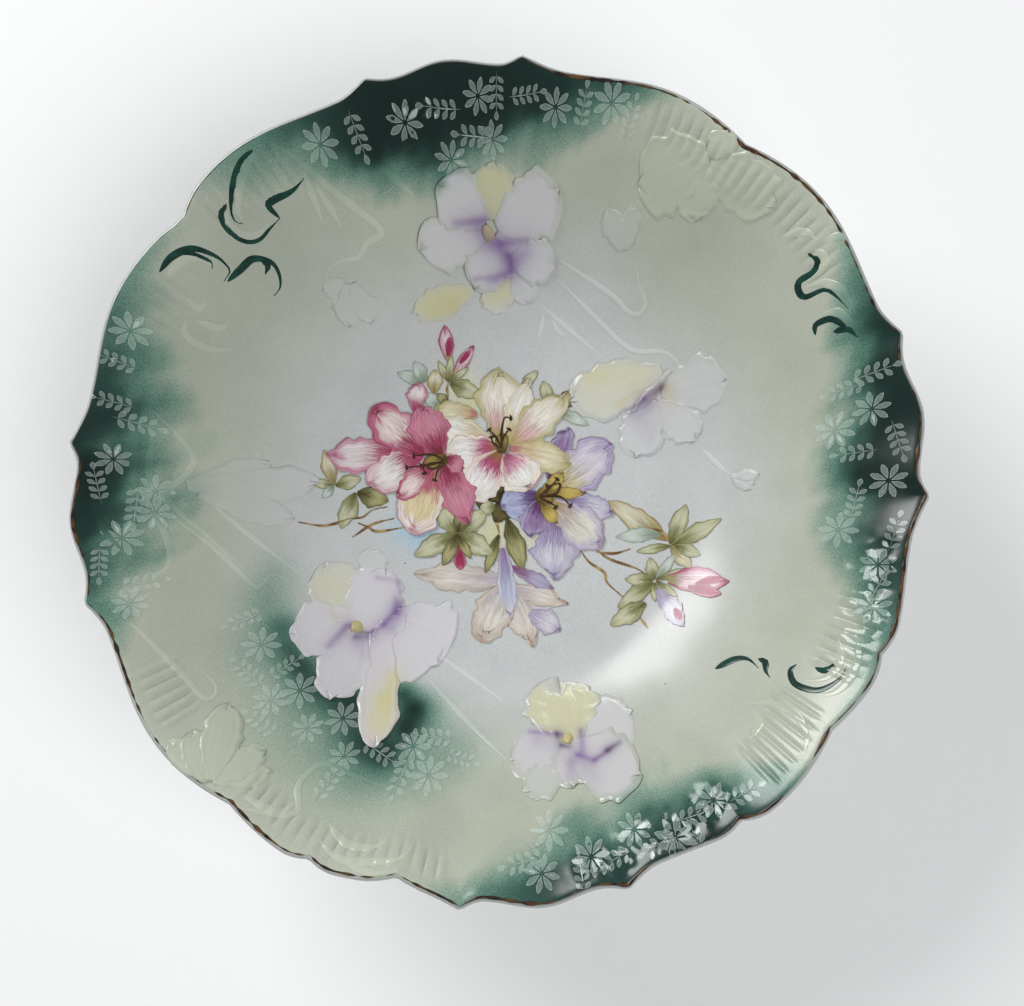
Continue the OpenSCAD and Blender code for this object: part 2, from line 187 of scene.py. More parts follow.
# The airbrushed ground.
ground = {
    "well": paint(194, 196, 196),
    "wall": paint(181, 186, 170),
    "teal": paint(86, 122, 108),
    "deep": paint(14, 36, 31),
    "deepening": 1.2,
    "outside": paint(192, 195, 190),
    "lip": paint(170, 174, 172),
    # direction, where the dark border starts and is full (shares of the rim radius), strength
    "border": [
        (0, 0.73, 0.90, 1.0), (10, 0.77, 0.94, 0.96), (20, 0.84, 0.97, 0.92), (29, 0.92, 1.0, 0.5),
        (36, 0.97, 1.0, 0), (62, 0.97, 1.0, 0), (69, 0.92, 1.0, 0.6), (80, 0.77, 0.96, 0.92),
        (90, 0.76, 0.89, 1.0), (100, 0.72, 0.86, 1.0), (110, 0.73, 0.88, 1.0), (120, 0.80, 0.99, 0.7),
        (130, 0.88, 1.0, 0.35), (138, 0.97, 1.0, 0), (148, 0.92, 1.0, 0.3), (160, 0.79, 0.99, 0.65),
        (170, 0.73, 0.99, 0.88), (180, 0.69, 0.99, 1.0), (190, 0.74, 1.0, 0.88), (200, 0.89, 1.0, 0.5),
        (208, 0.97, 1.0, 0), (260, 0.97, 1.0, 0), (270, 0.88, 0.98, 0.55), (280, 0.80, 0.95, 0.85),
        (290, 0.77, 0.97, 0.82), (300, 0.78, 0.96, 1.0), (310, 0.85, 1.0, 0.78), (318, 0.97, 1.0, 0),
        (330, 0.93, 1.0, 0.25), (340, 0.83, 0.99, 0.65), (350, 0.77, 0.94, 0.96), (360, 0.73, 0.90, 1.0),
    ],
    # the dark cloud behind the lower left flower: place, radius and strength of each puff
    "cloud": [
        (-73, -47, 5, 0.5), (-70, -54, 5, 0.5), (-66, -60, 5.5, 0.7), (-61, -66, 6, 0.72),
        (-55, -71, 6, 0.5),
        (-49, -72, 5.5, 0.8), (-48, -79, 6, 0.5), (-44, -85, 6, 0.6), (-37, -88, 6, 0.8),
        (-31, -80, 5, 0.85),
        (-29, -74, 5, 0.9), (-33, -69, 4, 0.7), (-24, -76, 6, 0.2), (-78, -38, 7, 0.2), (-76, -28, 6, 0.1),
        (-62, -74, 14, 0.2), (-44, -88, 13, 0.34), (-28, -88, 11, 0.26), (-76, -54, 10, 0.2),
        (-14, -88, 8, 0.12),
    ],
    # soft patches on the ground: place, radius, colour and strength. The first two are painted shade on the
    # upper left wall, which the key lamp lights at a slant; the third is a greyer patch on the upper right
    # wall; the rest are soft tints round the bouquet
    "tintsAndShade": [
        (-74, 80, 26, paint(148, 158, 146), 0.4), (-98, 42, 24, paint(148, 158, 146), 0.35),
        (66, 78, 30, paint(168, 176, 158), 0.3),
        (-29, -14, 6, paint(150, 190, 215), 0.75), (-36, -12, 5, paint(165, 198, 215), 0.45),
        (-12, 32, 6, paint(204, 202, 140), 0.7), (-15.5, 40, 6, paint(204, 204, 160), 0.4),
        (-3.5, -14, 6, paint(200, 200, 140), 0.7), (10, -16, 5, paint(204, 204, 160), 0.5),
    ],
    "unevenness": 0.1,
}


def darkAt(x, y):
    # how much dark teal lies here, from none to all
    a = np.mod(np.degrees(np.arctan2(y, x)), 360)
    q = np.hypot(x, y) / rimAt(a)
    table = np.array(ground["border"])
    start, full, strength = [np.interp(a, table[:, 0], table[:, k]) for k in (1, 2, 3)]
    uneven = ground["unevenness"] * softNoise(x, y, 26, 8) + 0.05 * softNoise(x, y, 9, 5)
    dark = ease((q - start) / (full - start) * 0.94 + uneven * ease((q - start + 0.06) / 0.1)) * strength
    clear = np.ones_like(q)
    for cx, cy, size, amount in ground["cloud"]:
        clear *= 1 - amount * np.exp(-((x - cx) ** 2 + (y - cy) ** 2) / size ** 2)
    return np.clip(1 - (1 - dark) * clear, 0, 1)


def groundColour(x, y):
    r = np.hypot(x, y)
    rim = rimAt(np.mod(np.degrees(np.arctan2(y, x)), 360))
    share = ease((r / rim - 0.42) / 0.4 + 0.1 * softNoise(x, y, 60, 3))
    colour = mix(ground["well"], ground["wall"], share)
    # soft patches: tints round the bouquet, and painted shade on the upper left wall
    for hx, hy, size, tint, strength in ground["tintsAndShade"]:
        near = strength * np.exp(-((x - hx) ** 2 + (y - hy) ** 2) / size ** 2)
        colour = mix(colour, tint, near)
    dark = darkAt(x, y)
    colour = np.exp(mix(np.log(colour), np.log(ground["teal"]), np.minimum(1, dark * 2)))
    colour = np.exp(mix(np.log(colour), np.log(ground["deep"]),
        np.maximum(0, dark * 2 - 1) ** ground["deepening"]))
    bare = ease((1.2 - (rim - r)) / 0.5)
    return mix(colour, ground["lip"], bare)


# Building meshes.
def newMesh(name, points, faces, colours=None, numbers=None):
    mesh = bpy.data.meshes.new(name)
    mesh.from_pydata([tuple(p) for p in points], [], [tuple(int(i) for i in f) for f in faces])
    for label, values in (colours or {}).items():
        layer = mesh.attributes.new(label, "FLOAT_COLOR", "POINT")
        rgba = np.ones((len(points), 4), np.float32)
        rgba[:, :3] = values
        layer.data.foreach_set("color", rgba.ravel())
    for label, values in (numbers or {}).items():
        layer = mesh.attributes.new(label, "FLOAT", "POINT")
        layer.data.foreach_set("value", np.asarray(values, np.float32))
    mesh.polygons.foreach_set("use_smooth", np.ones(len(mesh.polygons), bool))
    mesh.update()
    return mesh


def newObject(name, mesh):
    obj = bpy.data.objects.new(name, mesh)
    bpy.context.scene.collection.objects.link(obj)
    return obj


def readPoints(mesh):
    co = np.empty(len(mesh.vertices) * 3)
    mesh.vertices.foreach_get("co", co)
    return co.reshape(-1, 3)


def writeColour(mesh, label, values):
    layer = mesh.attributes.get(label) or mesh.attributes.new(label, "FLOAT_COLOR", "POINT")
    rgba = np.ones((len(mesh.vertices), 4), np.float32)
    rgba[:, :3] = values
    layer.data.foreach_set("color", rgba.ravel())


def groundOf(mesh):
    p = (readPoints(mesh) - middle) * 1000
    return groundColour(p[:, 0] / spread, p[:, 1] / spread)


# Geometry node trees.
def newTree(name, sockets):
    tree = bpy.data.node_groups.new(name, "GeometryNodeTree")
    tree.interface.new_socket("Geometry", in_out="INPUT", socket_type="NodeSocketGeometry")
    for label, kind, value in sockets:
        s = tree.interface.new_socket(label, in_out="INPUT", socket_type="NodeSocket" + kind)
        if value is not None:
            s.default_value = value
    tree.interface.new_socket("Geometry", in_out="OUTPUT", socket_type="NodeSocketGeometry")
    return tree, tree.nodes.new("NodeGroupInput").outputs, tree.nodes.new("NodeGroupOutput").inputs


def add(tree, kind, inputs=None, **settings):
    node = tree.nodes.new(kind)
    for key, value in settings.items():
        setattr(node, key, value)
    for key, value in (inputs or {}).items():
        target = node.inputs[key]
        if isinstance(value, bpy.types.NodeSocket):
            tree.links.new(value, target)
        else:
            target.default_value = value
    return node


def doMath(tree, operation, *values):
    return add(tree, "ShaderNodeMath", dict(enumerate(values)), operation=operation).outputs[0]


def named(tree, label, kind="FLOAT"):
    return add(tree, "GeometryNodeInputNamedAttribute", {"Name": label}, data_type=kind).outputs[0]


def runTree(obj, tree, values):
    mod = obj.modifiers.new(tree.name, "NODES")
    mod.node_group = tree
    for item in tree.interface.items_tree:
        if item.item_type == "SOCKET" and item.in_out == "INPUT" and item.name in values:
            mod[item.identifier] = values[item.name]
    graph = bpy.context.evaluated_depsgraph_get()
    made = bpy.data.meshes.new_from_object(obj.evaluated_get(graph), preserve_all_data_layers=True,
        depsgraph=graph)
    obj.modifiers.clear()
    obj.data = made
    made.name = obj.name
    return made


def drape(tree, geometry, bowlObject):
    # each point drops onto the bowl and keeps its own height above it;
    # one past the rim is drawn inwards first
    spot = add(tree, "GeometryNodeInputPosition").outputs[0]
    target = add(tree, "GeometryNodeObjectInfo", {"Object": bowlObject}, transform_space="RELATIVE")

    def dropFrom(where):
        parts = add(tree, "ShaderNodeSeparateXYZ", {0: where}).outputs
        start = add(tree, "ShaderNodeCombineXYZ", {0: parts[0], 1: parts[1], 2: 0.2}).outputs[0]
        ray = add(tree, "GeometryNodeRaycast", {
            "Target Geometry": target.outputs["Geometry"], "Source Position": start,
            "Ray Direction": (0, 0, -1), "Ray Length": 0.4,
        })
        hit = add(tree, "ShaderNodeSeparateXYZ", {0: ray.outputs["Hit Position"]}).outputs
        height = doMath(tree, "ADD", hit[2], parts[2])
        return ray.outputs["Is Hit"], add(tree, "ShaderNodeCombineXYZ",
            {0: parts[0], 1: parts[1], 2: height}).outputs[0]

    found, place = dropFrom(spot)
    centre = (float(middle[0]), float(middle[1]), 0.0)
    inwards = add(tree, "ShaderNodeVectorMath", {0: spot, 1: centre}, operation="SUBTRACT").outputs[0]
    inwards = add(tree, "ShaderNodeVectorMath", {0: inwards, 1: (0.955, 0.955, 1.0)},
        operation="MULTIPLY").outputs[0]
    inwards = add(tree, "ShaderNodeVectorMath", {0: inwards, 1: centre}).outputs[0]
    _, held = dropFrom(inwards)
    choose = add(tree, "GeometryNodeSwitch", {"Switch": found, "False": held, "True": place},
        input_type="VECTOR").outputs[0]
    return add(tree, "GeometryNodeSetPosition", {"Geometry": geometry, "Position": choose}).outputs[0]


def flutingTree():
    tree, given, out = newTree("fluting", [
        ("Rib Height", "Float", 0.0008), ("Rib Roundness", "Float", 0.6),
        ("Unevenness", "Float", 0.00005), ("Leafiness", "Float", 0.002), ("Seed", "Int", 4),
        ("Material", "Material", None),
    ])
    phase, mask = named(tree, "ribPhase"), named(tree, "ribMask")
    wave = doMath(tree, "ABSOLUTE", doMath(tree, "SINE", doMath(tree, "MULTIPLY", phase, math.pi)))
    rib = doMath(tree, "SUBTRACT", doMath(tree, "POWER", wave, given["Rib Roundness"]), 0.55)
    rib = doMath(tree, "MULTIPLY", doMath(tree, "MULTIPLY", rib, mask), given["Rib Height"])
    noise = add(tree, "ShaderNodeTexNoise", {
        "W": given["Seed"], "Scale": 55.0, "Detail": 1.0,
    }, noise_dimensions="4D").outputs[0]
    lumps = doMath(tree, "MULTIPLY", doMath(tree, "SUBTRACT", noise, 0.5), given["Unevenness"])
    lumps = doMath(tree, "MULTIPLY", lumps, named(tree, "inside"))
    leafy = add(tree, "ShaderNodeTexNoise", {"W": given["Seed"], "Scale": 150.0, "Detail": 1.0},
        noise_dimensions="4D").outputs[0]
    leafy = doMath(tree, "MULTIPLY", doMath(tree, "SUBTRACT", leafy, 0.5), given["Leafiness"])
    lumps = doMath(tree, "ADD", lumps, doMath(tree, "MULTIPLY", leafy, named(tree, "leafMask")))
    total = doMath(tree, "ADD", rib, lumps)
    up = add(tree, "ShaderNodeVectorMath", {0: add(tree, "GeometryNodeInputNormal").outputs[0]},
        operation="SCALE")
    tree.links.new(total, up.inputs["Scale"])
    moved = add(tree, "GeometryNodeSetPosition", {"Geometry": given["Geometry"],
        "Offset": up.outputs[0]}).outputs[0]
    moved = add(tree, "GeometryNodeSetMaterial",
        {"Geometry": moved, "Material": given["Material"]}).outputs[0]
    tree.links.new(moved, out[0])
    return tree


def layingTree():
    tree, given, out = newTree("layOnBowl", [("Bowl", "Object", None), ("Material", "Material", None)])
    laid = drape(tree, given["Geometry"], given["Bowl"])
    laid = add(tree, "GeometryNodeSetMaterial", {"Geometry": laid, "Material": given["Material"]}).outputs[0]
    tree.links.new(laid, out[0])
    return tree


def lineTree():
    # a raised or painted line along a flat route, wide where the route's own swell is large
    tree, given, out = newTree("lineOnBowl", [
        ("Width", "Float", 0.002), ("Height", "Float", 0.001), ("Roundness", "Float", 1.5),
        ("Sink", "Float", 0.0003), ("Sides", "Int", 16), ("Bowl", "Object", None),
        ("Material", "Material", None),
    ])
    curve = add(tree, "GeometryNodeMeshToCurve", {"Mesh": given["Geometry"]}).outputs[0]
    curve = add(tree, "GeometryNodeSetCurveNormal", {"Curve": curve}, mode="Z_UP").outputs[0]
    ring = add(tree, "GeometryNodeCurvePrimitiveCircle", {"Resolution": given["Sides"],
        "Radius": 1.0}).outputs[0]
    spot = add(tree, "ShaderNodeSeparateXYZ", {0: add(tree, "GeometryNodeInputPosition").outputs[0]}).outputs
    across = doMath(tree, "MULTIPLY", doMath(tree, "MULTIPLY", spot[0], given["Width"]), 0.5)
    crest = doMath(tree, "POWER", doMath(tree, "MAXIMUM", spot[1], 0.0), given["Roundness"])
    crest = doMath(tree, "MULTIPLY", crest, given["Height"])
    under = doMath(tree, "MULTIPLY", doMath(tree, "MINIMUM", spot[1], 0.0), given["Sink"])
    shape = add(tree, "ShaderNodeCombineXYZ", {0: across, 1: doMath(tree, "ADD", crest, under)}).outputs[0]
    ring = add(tree, "GeometryNodeSetPosition", {"Geometry": ring, "Position": shape}).outputs[0]
    tube = add(tree, "GeometryNodeCurveToMesh", {
        "Curve": curve, "Profile Curve": ring, "Scale": named(tree, "swell"), "Fill Caps": True,
    }).outputs[0]
    tube = add(tree, "GeometryNodeSetShadeSmooth", {"Geometry": tube, "Shade Smooth": True}).outputs[0]
    tube = drape(tree, tube, given["Bowl"])
    tube = add(tree, "GeometryNodeSetMaterial", {"Geometry": tube, "Material": given["Material"]}).outputs[0]
    tree.links.new(tube, out[0])
    return tree


# Materials.
def newMaterial(name):
    mat = bpy.data.materials.new(name)
    mat.use_nodes = True
    tree = mat.node_tree
    return mat, tree, tree.nodes["Principled BSDF"]


def attribute(tree, label, output="Color"):
    return add(tree, "ShaderNodeAttribute", attribute_name=label).outputs[output]


def blend(tree, a, b, factor, mode="MIX"):
    node = tree.nodes.new("ShaderNodeMix")
    node.data_type = "RGBA"
    node.blend_type = mode
    for key, value in ((0, factor), (6, a), (7, b)):
        if isinstance(value, bpy.types.NodeSocket):
            tree.links.new(value, node.inputs[key])
        elif key:
            node.inputs[key].default_value = tuple(value) + (1,)
        else:
            node.inputs[key].default_value = value
    return node.outputs[2]


def ramp(tree, value, low, high, toLow=0.0, toHigh=1.0):
    return add(tree, "ShaderNodeMapRange", {
        0: value, 1: low, 2: high, 3: toLow, 4: toHigh,
    }, interpolation_type="SMOOTHSTEP").outputs[0]


def noise(tree, scale, detail=2.0, vector=None, roughness=0.5):
    where = vector or add(tree, "ShaderNodeTexCoord").outputs["Object"]
    return add(tree, "ShaderNodeTexNoise", {
        "Vector": where, "Scale": scale, "Detail": detail, "Roughness": roughness,
    }).outputs[0]


def glazeSurface(tree, shader, rough=0.13, bump=0.00006):
    # a clear glaze: glossy, with the faint waviness of a fired coat
    tree.links.new(ramp(tree, noise(tree, 90, 3), 0.3, 0.7, rough * 0.92, rough * 1.1),
        shader.inputs["Roughness"])
    shader.inputs["IOR"].default_value = 1.5
    swell = add(tree, "ShaderNodeBump", {
        "Strength": 0.35, "Distance": bump, "Height": noise(tree, 170, 2),
    }).outputs[0]
    tree.links.new(swell, shader.inputs["Normal"])


def groundGlaze(name, grain=0.07, specks=True, rough=0.13):
    mat, tree, shader = newMaterial(name)
    colour = attribute(tree, "ground")
    # the airbrush leaves a coarser grain where the dark colour thins out
    fine = ramp(tree, noise(tree, 2400, 2), 0.3, 0.7, -1.0, 1.0)
    depth = doMath(tree, "MULTIPLY_ADD", attribute(tree, "sprayEdge", "Fac"), 0.22, grain)
    fine = doMath(tree, "MULTIPLY_ADD", fine, depth, 1.0)
    soft = ramp(tree, noise(tree, 70, 3), 0.25, 0.75, 0.97, 1.03)
    shade = doMath(tree, "MULTIPLY", fine, soft)
    grey = add(tree, "ShaderNodeCombineXYZ", {0: shade, 1: shade, 2: shade}).outputs[0]
    colour = blend(tree, colour, grey, 1.0, "MULTIPLY")
    if specks:
        where = add(tree, "ShaderNodeTexCoord").outputs["Object"]
        cells = add(tree, "ShaderNodeTexVoronoi", {"Vector": where, "Scale": 90.0})
        dot = ramp(tree, cells.outputs["Distance"], 0.02, 0.035, 1.0, 0.0)
        chance = add(tree, "ShaderNodeSeparateColor", {0: cells.outputs["Color"]}).outputs[0]
        dot = doMath(tree, "MULTIPLY", dot, ramp(tree, chance, 0.84, 0.86))
        colour = blend(tree, colour, paint(70, 62, 50), doMath(tree, "MULTIPLY", dot, 0.75))
    tree.links.new(colour, shader.inputs["Base Color"])
    glazeSurface(tree, shader, rough)
    even = shader.inputs["Roughness"].links[0].from_socket
    crisp = doMath(tree, "MULTIPLY_ADD", attribute(tree, "leafMask", "Fac"), -0.5, 1.0)
    tree.links.new(doMath(tree, "MULTIPLY", even, crisp), shader.inputs["Roughness"])
    return mat


def petalSheet(tree):
    sheet = add(tree, "ShaderNodeAttribute", attribute_name="sheet").outputs["Vector"]
    along, across, shift = add(tree, "ShaderNodeSeparateXYZ", {0: sheet}).outputs[:3]

    def streaks(long, wide, scale):
        way = add(tree, "ShaderNodeCombineXYZ", {
            0: doMath(tree, "MULTIPLY", along, long), 1: doMath(tree, "MULTIPLY", across, wide), 2: shift,
        }).outputs[0]
        return doMath(tree, "SUBTRACT", noise(tree, scale, 3, way, 0.6), 0.5)

    return along, across, streaks(3.0, 9.0, 2.2), streaks(4.0, 26.0, 1.7), streaks(1.2, 3.0, 1.6)


def hatching(tree, across, wander, sharp):
    lines = doMath(tree, "MULTIPLY", doMath(tree, "MULTIPLY_ADD", wander, 0.35, across),
        attribute(tree, "veins", "Fac"))
    return doMath(tree, "POWER", doMath(tree, "ABSOLUTE", doMath(tree, "COSINE",
        doMath(tree, "MULTIPLY", lines, math.pi))), sharp)


def petalGlaze(name, veinDepth, outline, rough=0.15):
    # a printed petal: its throat, a deep part with fine strokes, a pale middle and a tinted edge
    mat, tree, shader = newMaterial(name)
    along, across, streak, fine, patch = petalSheet(tree)
    reach = doMath(tree, "ADD", doMath(tree, "MULTIPLY_ADD", streak, 0.6, along),
        doMath(tree, "MULTIPLY", fine, 0.45))
    colour = blend(tree, attribute(tree, "throat"), attribute(tree, "inner"), ramp(tree, reach, 0.08, 0.24))
    colour = blend(tree, colour, attribute(tree, "middle"), ramp(tree, reach, 0.26, 0.58))
    side = doMath(tree, "ADD", doMath(tree, "ABSOLUTE", across),
        doMath(tree, "MULTIPLY_ADD", patch, 0.9, doMath(tree, "MULTIPLY", fine, 0.5)))
    tip = doMath(tree, "ADD", along, doMath(tree, "MULTIPLY_ADD", patch, 0.6,
        doMath(tree, "MULTIPLY", fine, 0.4)))
    outer = doMath(tree, "MAXIMUM", ramp(tree, side, 0.5, 1.0), ramp(tree, tip, 0.74, 1.0))
    colour = blend(tree, colour, attribute(tree, "rim"), outer)
    zone = doMath(tree, "MAXIMUM", ramp(tree, along, 0.75, 0.25), doMath(tree, "MULTIPLY", outer, 0.7))
    broken = doMath(tree, "MULTIPLY", zone, ramp(tree, fine, -0.12, 0.1))
    line = doMath(tree, "MULTIPLY", hatching(tree, across, patch, 4.0), broken)
    colour = blend(tree, colour, attribute(tree, "vein"), doMath(tree, "MULTIPLY", line, veinDepth))
    tone = ramp(tree, doMath(tree, "MULTIPLY_ADD", patch, 1.4, streak), -0.3, 0.3, 0.8, 1.1)
    grey = add(tree, "ShaderNodeCombineXYZ", {0: tone, 1: tone, 2: tone}).outputs[0]
    colour = blend(tree, colour, grey, 1.0, "MULTIPLY")
    edge = ramp(tree, attribute(tree, "edgeMm", "Fac"), 0.1, 0.36, 1.0, 0.0)
    edge = doMath(tree, "MULTIPLY", edge, ramp(tree, patch, -0.15, 0.1, 0.2, outline))
    colour = blend(tree, colour, attribute(tree, "vein"), edge)
    tree.links.new(colour, shader.inputs["Base Color"])
    glazeSurface(tree, shader, rough)
    return mat


def reliefPetal(name, rough=0.12):
    # a moulded petal: its sprayed colour, with faint veins pressed along it
    mat, tree, shader = newMaterial(name)
    along, across, streak, fine, patch = petalSheet(tree)
    line = doMath(tree, "MULTIPLY", hatching(tree, across, patch, 5.0), ramp(tree, along, 0.9, 0.2))
    tone = doMath(tree, "MULTIPLY_ADD", streak, 0.1, 1.0)
    tone = doMath(tree, "SUBTRACT", tone, doMath(tree, "MULTIPLY", line, 0.035))
    grey = add(tree, "ShaderNodeCombineXYZ", {0: tone, 1: tone, 2: tone}).outputs[0]
    tree.links.new(blend(tree, attribute(tree, "tint"), grey, 1.0, "MULTIPLY"), shader.inputs["Base Color"])
    glazeSurface(tree, shader, rough)
    old = shader.inputs["Normal"].links[0].from_socket
    tree.links.new(add(tree, "ShaderNodeBump", {
        "Strength": 0.5, "Distance": 0.001, "Height": doMath(tree, "MULTIPLY", streak, 0.14), "Normal": old,
    }).outputs[0], shader.inputs["Normal"])
    return mat


def lineGlaze(name, colour, second, rough=0.16):
    mat, tree, shader = newMaterial(name)
    tone = blend(tree, colour, second, ramp(tree, noise(tree, 260, 3), 0.35, 0.65))
    tree.links.new(tone, shader.inputs["Base Color"])
    glazeSurface(tree, shader, rough)
    return mat


def finishPiece(obj, node):
    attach(obj, "root")
    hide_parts(*([node] if isinstance(node, str) else node))


# The bowl's own body, fluted below the rim.
flutes = {
    "height": 0.0008,
    "roundness": 0.55,
    "unevenness": 0.00012,
    "leafiness": 0.0042,
    # where the edge is moulded into small crowded leaves: from and to in degrees
    "leafy": [(279, 309), (330, 352), (92, 112)],
    "seed": 4,
    # from and to in degrees, distance in from the rim at each end, number of ribs
    "fields": [
        (29, 67, 4.2, 15.5, 22), (123, 138.5, 4.2, 18, 9), (147, 157, 8, 19, 5),
        (328, 342, 4.4, 18, 8), (310.5, 324, 4.4, 20, 8), (209, 219, 4.4, 17, 6), (231, 264, 4.4, 13, 18),
    ],
}


def bodyPoints():
    rings = []

    def inside(t, count):
        a = np.arange(count) * 360 / count
        r = bowl["foot"] + (innerEnd(a) - bowl["foot"]) * t
        return a, r, innerZ(r, a)

    def outside(t, count):
        a, r, z = inside(t, count)
        thick = bowl["floor"] + (bowl["lip"] - bowl["floor"]) * t
        return a, r + thick * np.sin(leanAt(t)), z - thick * np.cos(leanAt(t))

    well, wall, rim = bowl["aroundWell"], bowl["aroundWall"], bowl["aroundRim"]
    for k in range(1, 17):
        a = np.arange(well) * 360 / well
        r = np.full(well, bowl["foot"] * k / 17)
        rings.append((a, r, np.full(well, floorZ), 1))
    for t in np.linspace(0, 0.58, 28):
        rings.append((*inside(t, wall), 1))
    rings.append((*inside(0.6, wall * 2), 1))
    for t in np.linspace(0.62, 1, 22):
        rings.append((*inside(t, rim), 1))
    lean = leanAt(1)
    for k in range(1, 6):
        count = wall * 2 if k == 1 else wall
        a, ri, zi = inside(1, count)
        _, ro, zo = outside(1, count)
        turn = lean + math.pi / 2 - math.pi * k / 6
        rings.append((a, (ri + ro) / 2 + bowl["lip"] / 2 * math.cos(turn),
            (zi + zo) / 2 + bowl["lip"] / 2 * math.sin(turn), 0))
    for t in np.linspace(1, 0, 20):
        rings.append((*outside(t, wall), 0))
    for k in range(5, 0, -1):
        a = np.arange(well) * 360 / well
        rings.append((a, np.full(well, bowl["foot"] * k / 6), np.full(well, bowl["footHeight"]), 0))
    return rings


def makeBody(material):
    rings = bodyPoints()
    points, inner = [], []
    for a, r, z, isInside in rings:
        points.append(np.c_[r * np.cos(np.radians(a)), r * np.sin(np.radians(a)), z])
        inner.append(np.full(len(a), isInside))
    starts = np.cumsum([0] + [len(p) for p in points])
    faces = []
    for k in range(len(rings) - 1):
        n, m = len(points[k]), len(points[k + 1])
        p, q = starts[k], starts[k + 1]
        if n == m:
            faces += [(p + i, q + i, q + (i + 1) % m, p + (i + 1) % n) for i in range(n)]
        elif m == 2 * n:
            for i in range(n):
                j, b = (i + 1) % n, q + 2 * i
                faces += [(p + i, b, b + 1), (p + i, b + 1, p + j), (p + j, b + 1, q + (2 * i + 2) % m)]
        else:
            for i in range(m):
                j, b = (i + 1) % m, p + 2 * i
                faces += [(q + i, b + 1, b), (q + i, q + j, b + 1), (q + j, p + (2 * i + 2) % n, b + 1)]
    points = np.concatenate(points + [np.array([[0, 0, floorZ], [0, 0, bowl["footHeight"]]])])
    inner = np.concatenate(inner + [np.array([1, 0])])
    top, under, last = len(points) - 2, len(points) - 1, starts[-2]
    faces += [(top, i, (i + 1) % len(rings[0][0])) for i in range(len(rings[0][0]))]
    n = len(rings[-1][0])
    faces += [(under, last + (i + 1) % n, last + i) for i in range(n)]
    x, y = points[:, 0], points[:, 1]
    r, a = np.hypot(x, y), np.mod(np.degrees(np.arctan2(y, x)), 360)
    away = rimAt(a) - r
    phase, mask = np.zeros(len(points)), np.zeros(len(points))
    for low, high, near, far, count in flutes["fields"]:
        within = (a >= low) & (a <= high)
        side = ease((a - low) / 1.2) * ease((high - a) / 1.2)
        deep = ease((away - near) / 1.6) * ease((far - away) / 2.6)
        phase = np.where(within, (a - low) / (high - low) * count, phase)
        mask = np.where(within, side * deep, mask)
    mask *= inner
    leafMask = np.zeros(len(points))
    for low, high in flutes["leafy"]:
        leafMask += ease((a - low) / 6) * ease((high - a) / 6) * ease((away - 3) / 3) * ease((20 - away)
            / 9) * inner
    colour = groundColour(x, y)
    colour[inner == 0] = mix(ground["lip"], ground["outside"], ease((away[inner == 0] - 1.5) / 4))
    shoulder = (inner == 0) & (points[:, 2] > bowl["height"] - 3.2) & (away > 0.6)
    colour[shoulder] = groundColour(x, y)[shoulder]
    dark = darkAt(x, y) * inner
    mesh = newMesh("bowlBody", toFrame(points), faces, {"ground": colour}, {
        "ribPhase": phase, "ribMask": mask, "inside": inner, "leafMask": leafMask,
        "sprayEdge": 4 * dark * (1 - dark),
    })
    body = newObject("bowlBody", mesh)
    runTree(body, flutingTree(), {
        "Rib Height": flutes["height"], "Rib Roundness": flutes["roundness"],
        "Unevenness": flutes["unevenness"], "Leafiness": flutes["leafiness"], "Seed": flutes["seed"],
        "Material": material,
    })
    finishPiece(body, "bowl_body")
    return body


bowlGlaze = groundGlaze("bowlGlaze", rough=0.24)
body = makeBody(bowlGlaze)
print("body made", len(body.data.polygons))

laying, lining = layingTree(), lineTree()

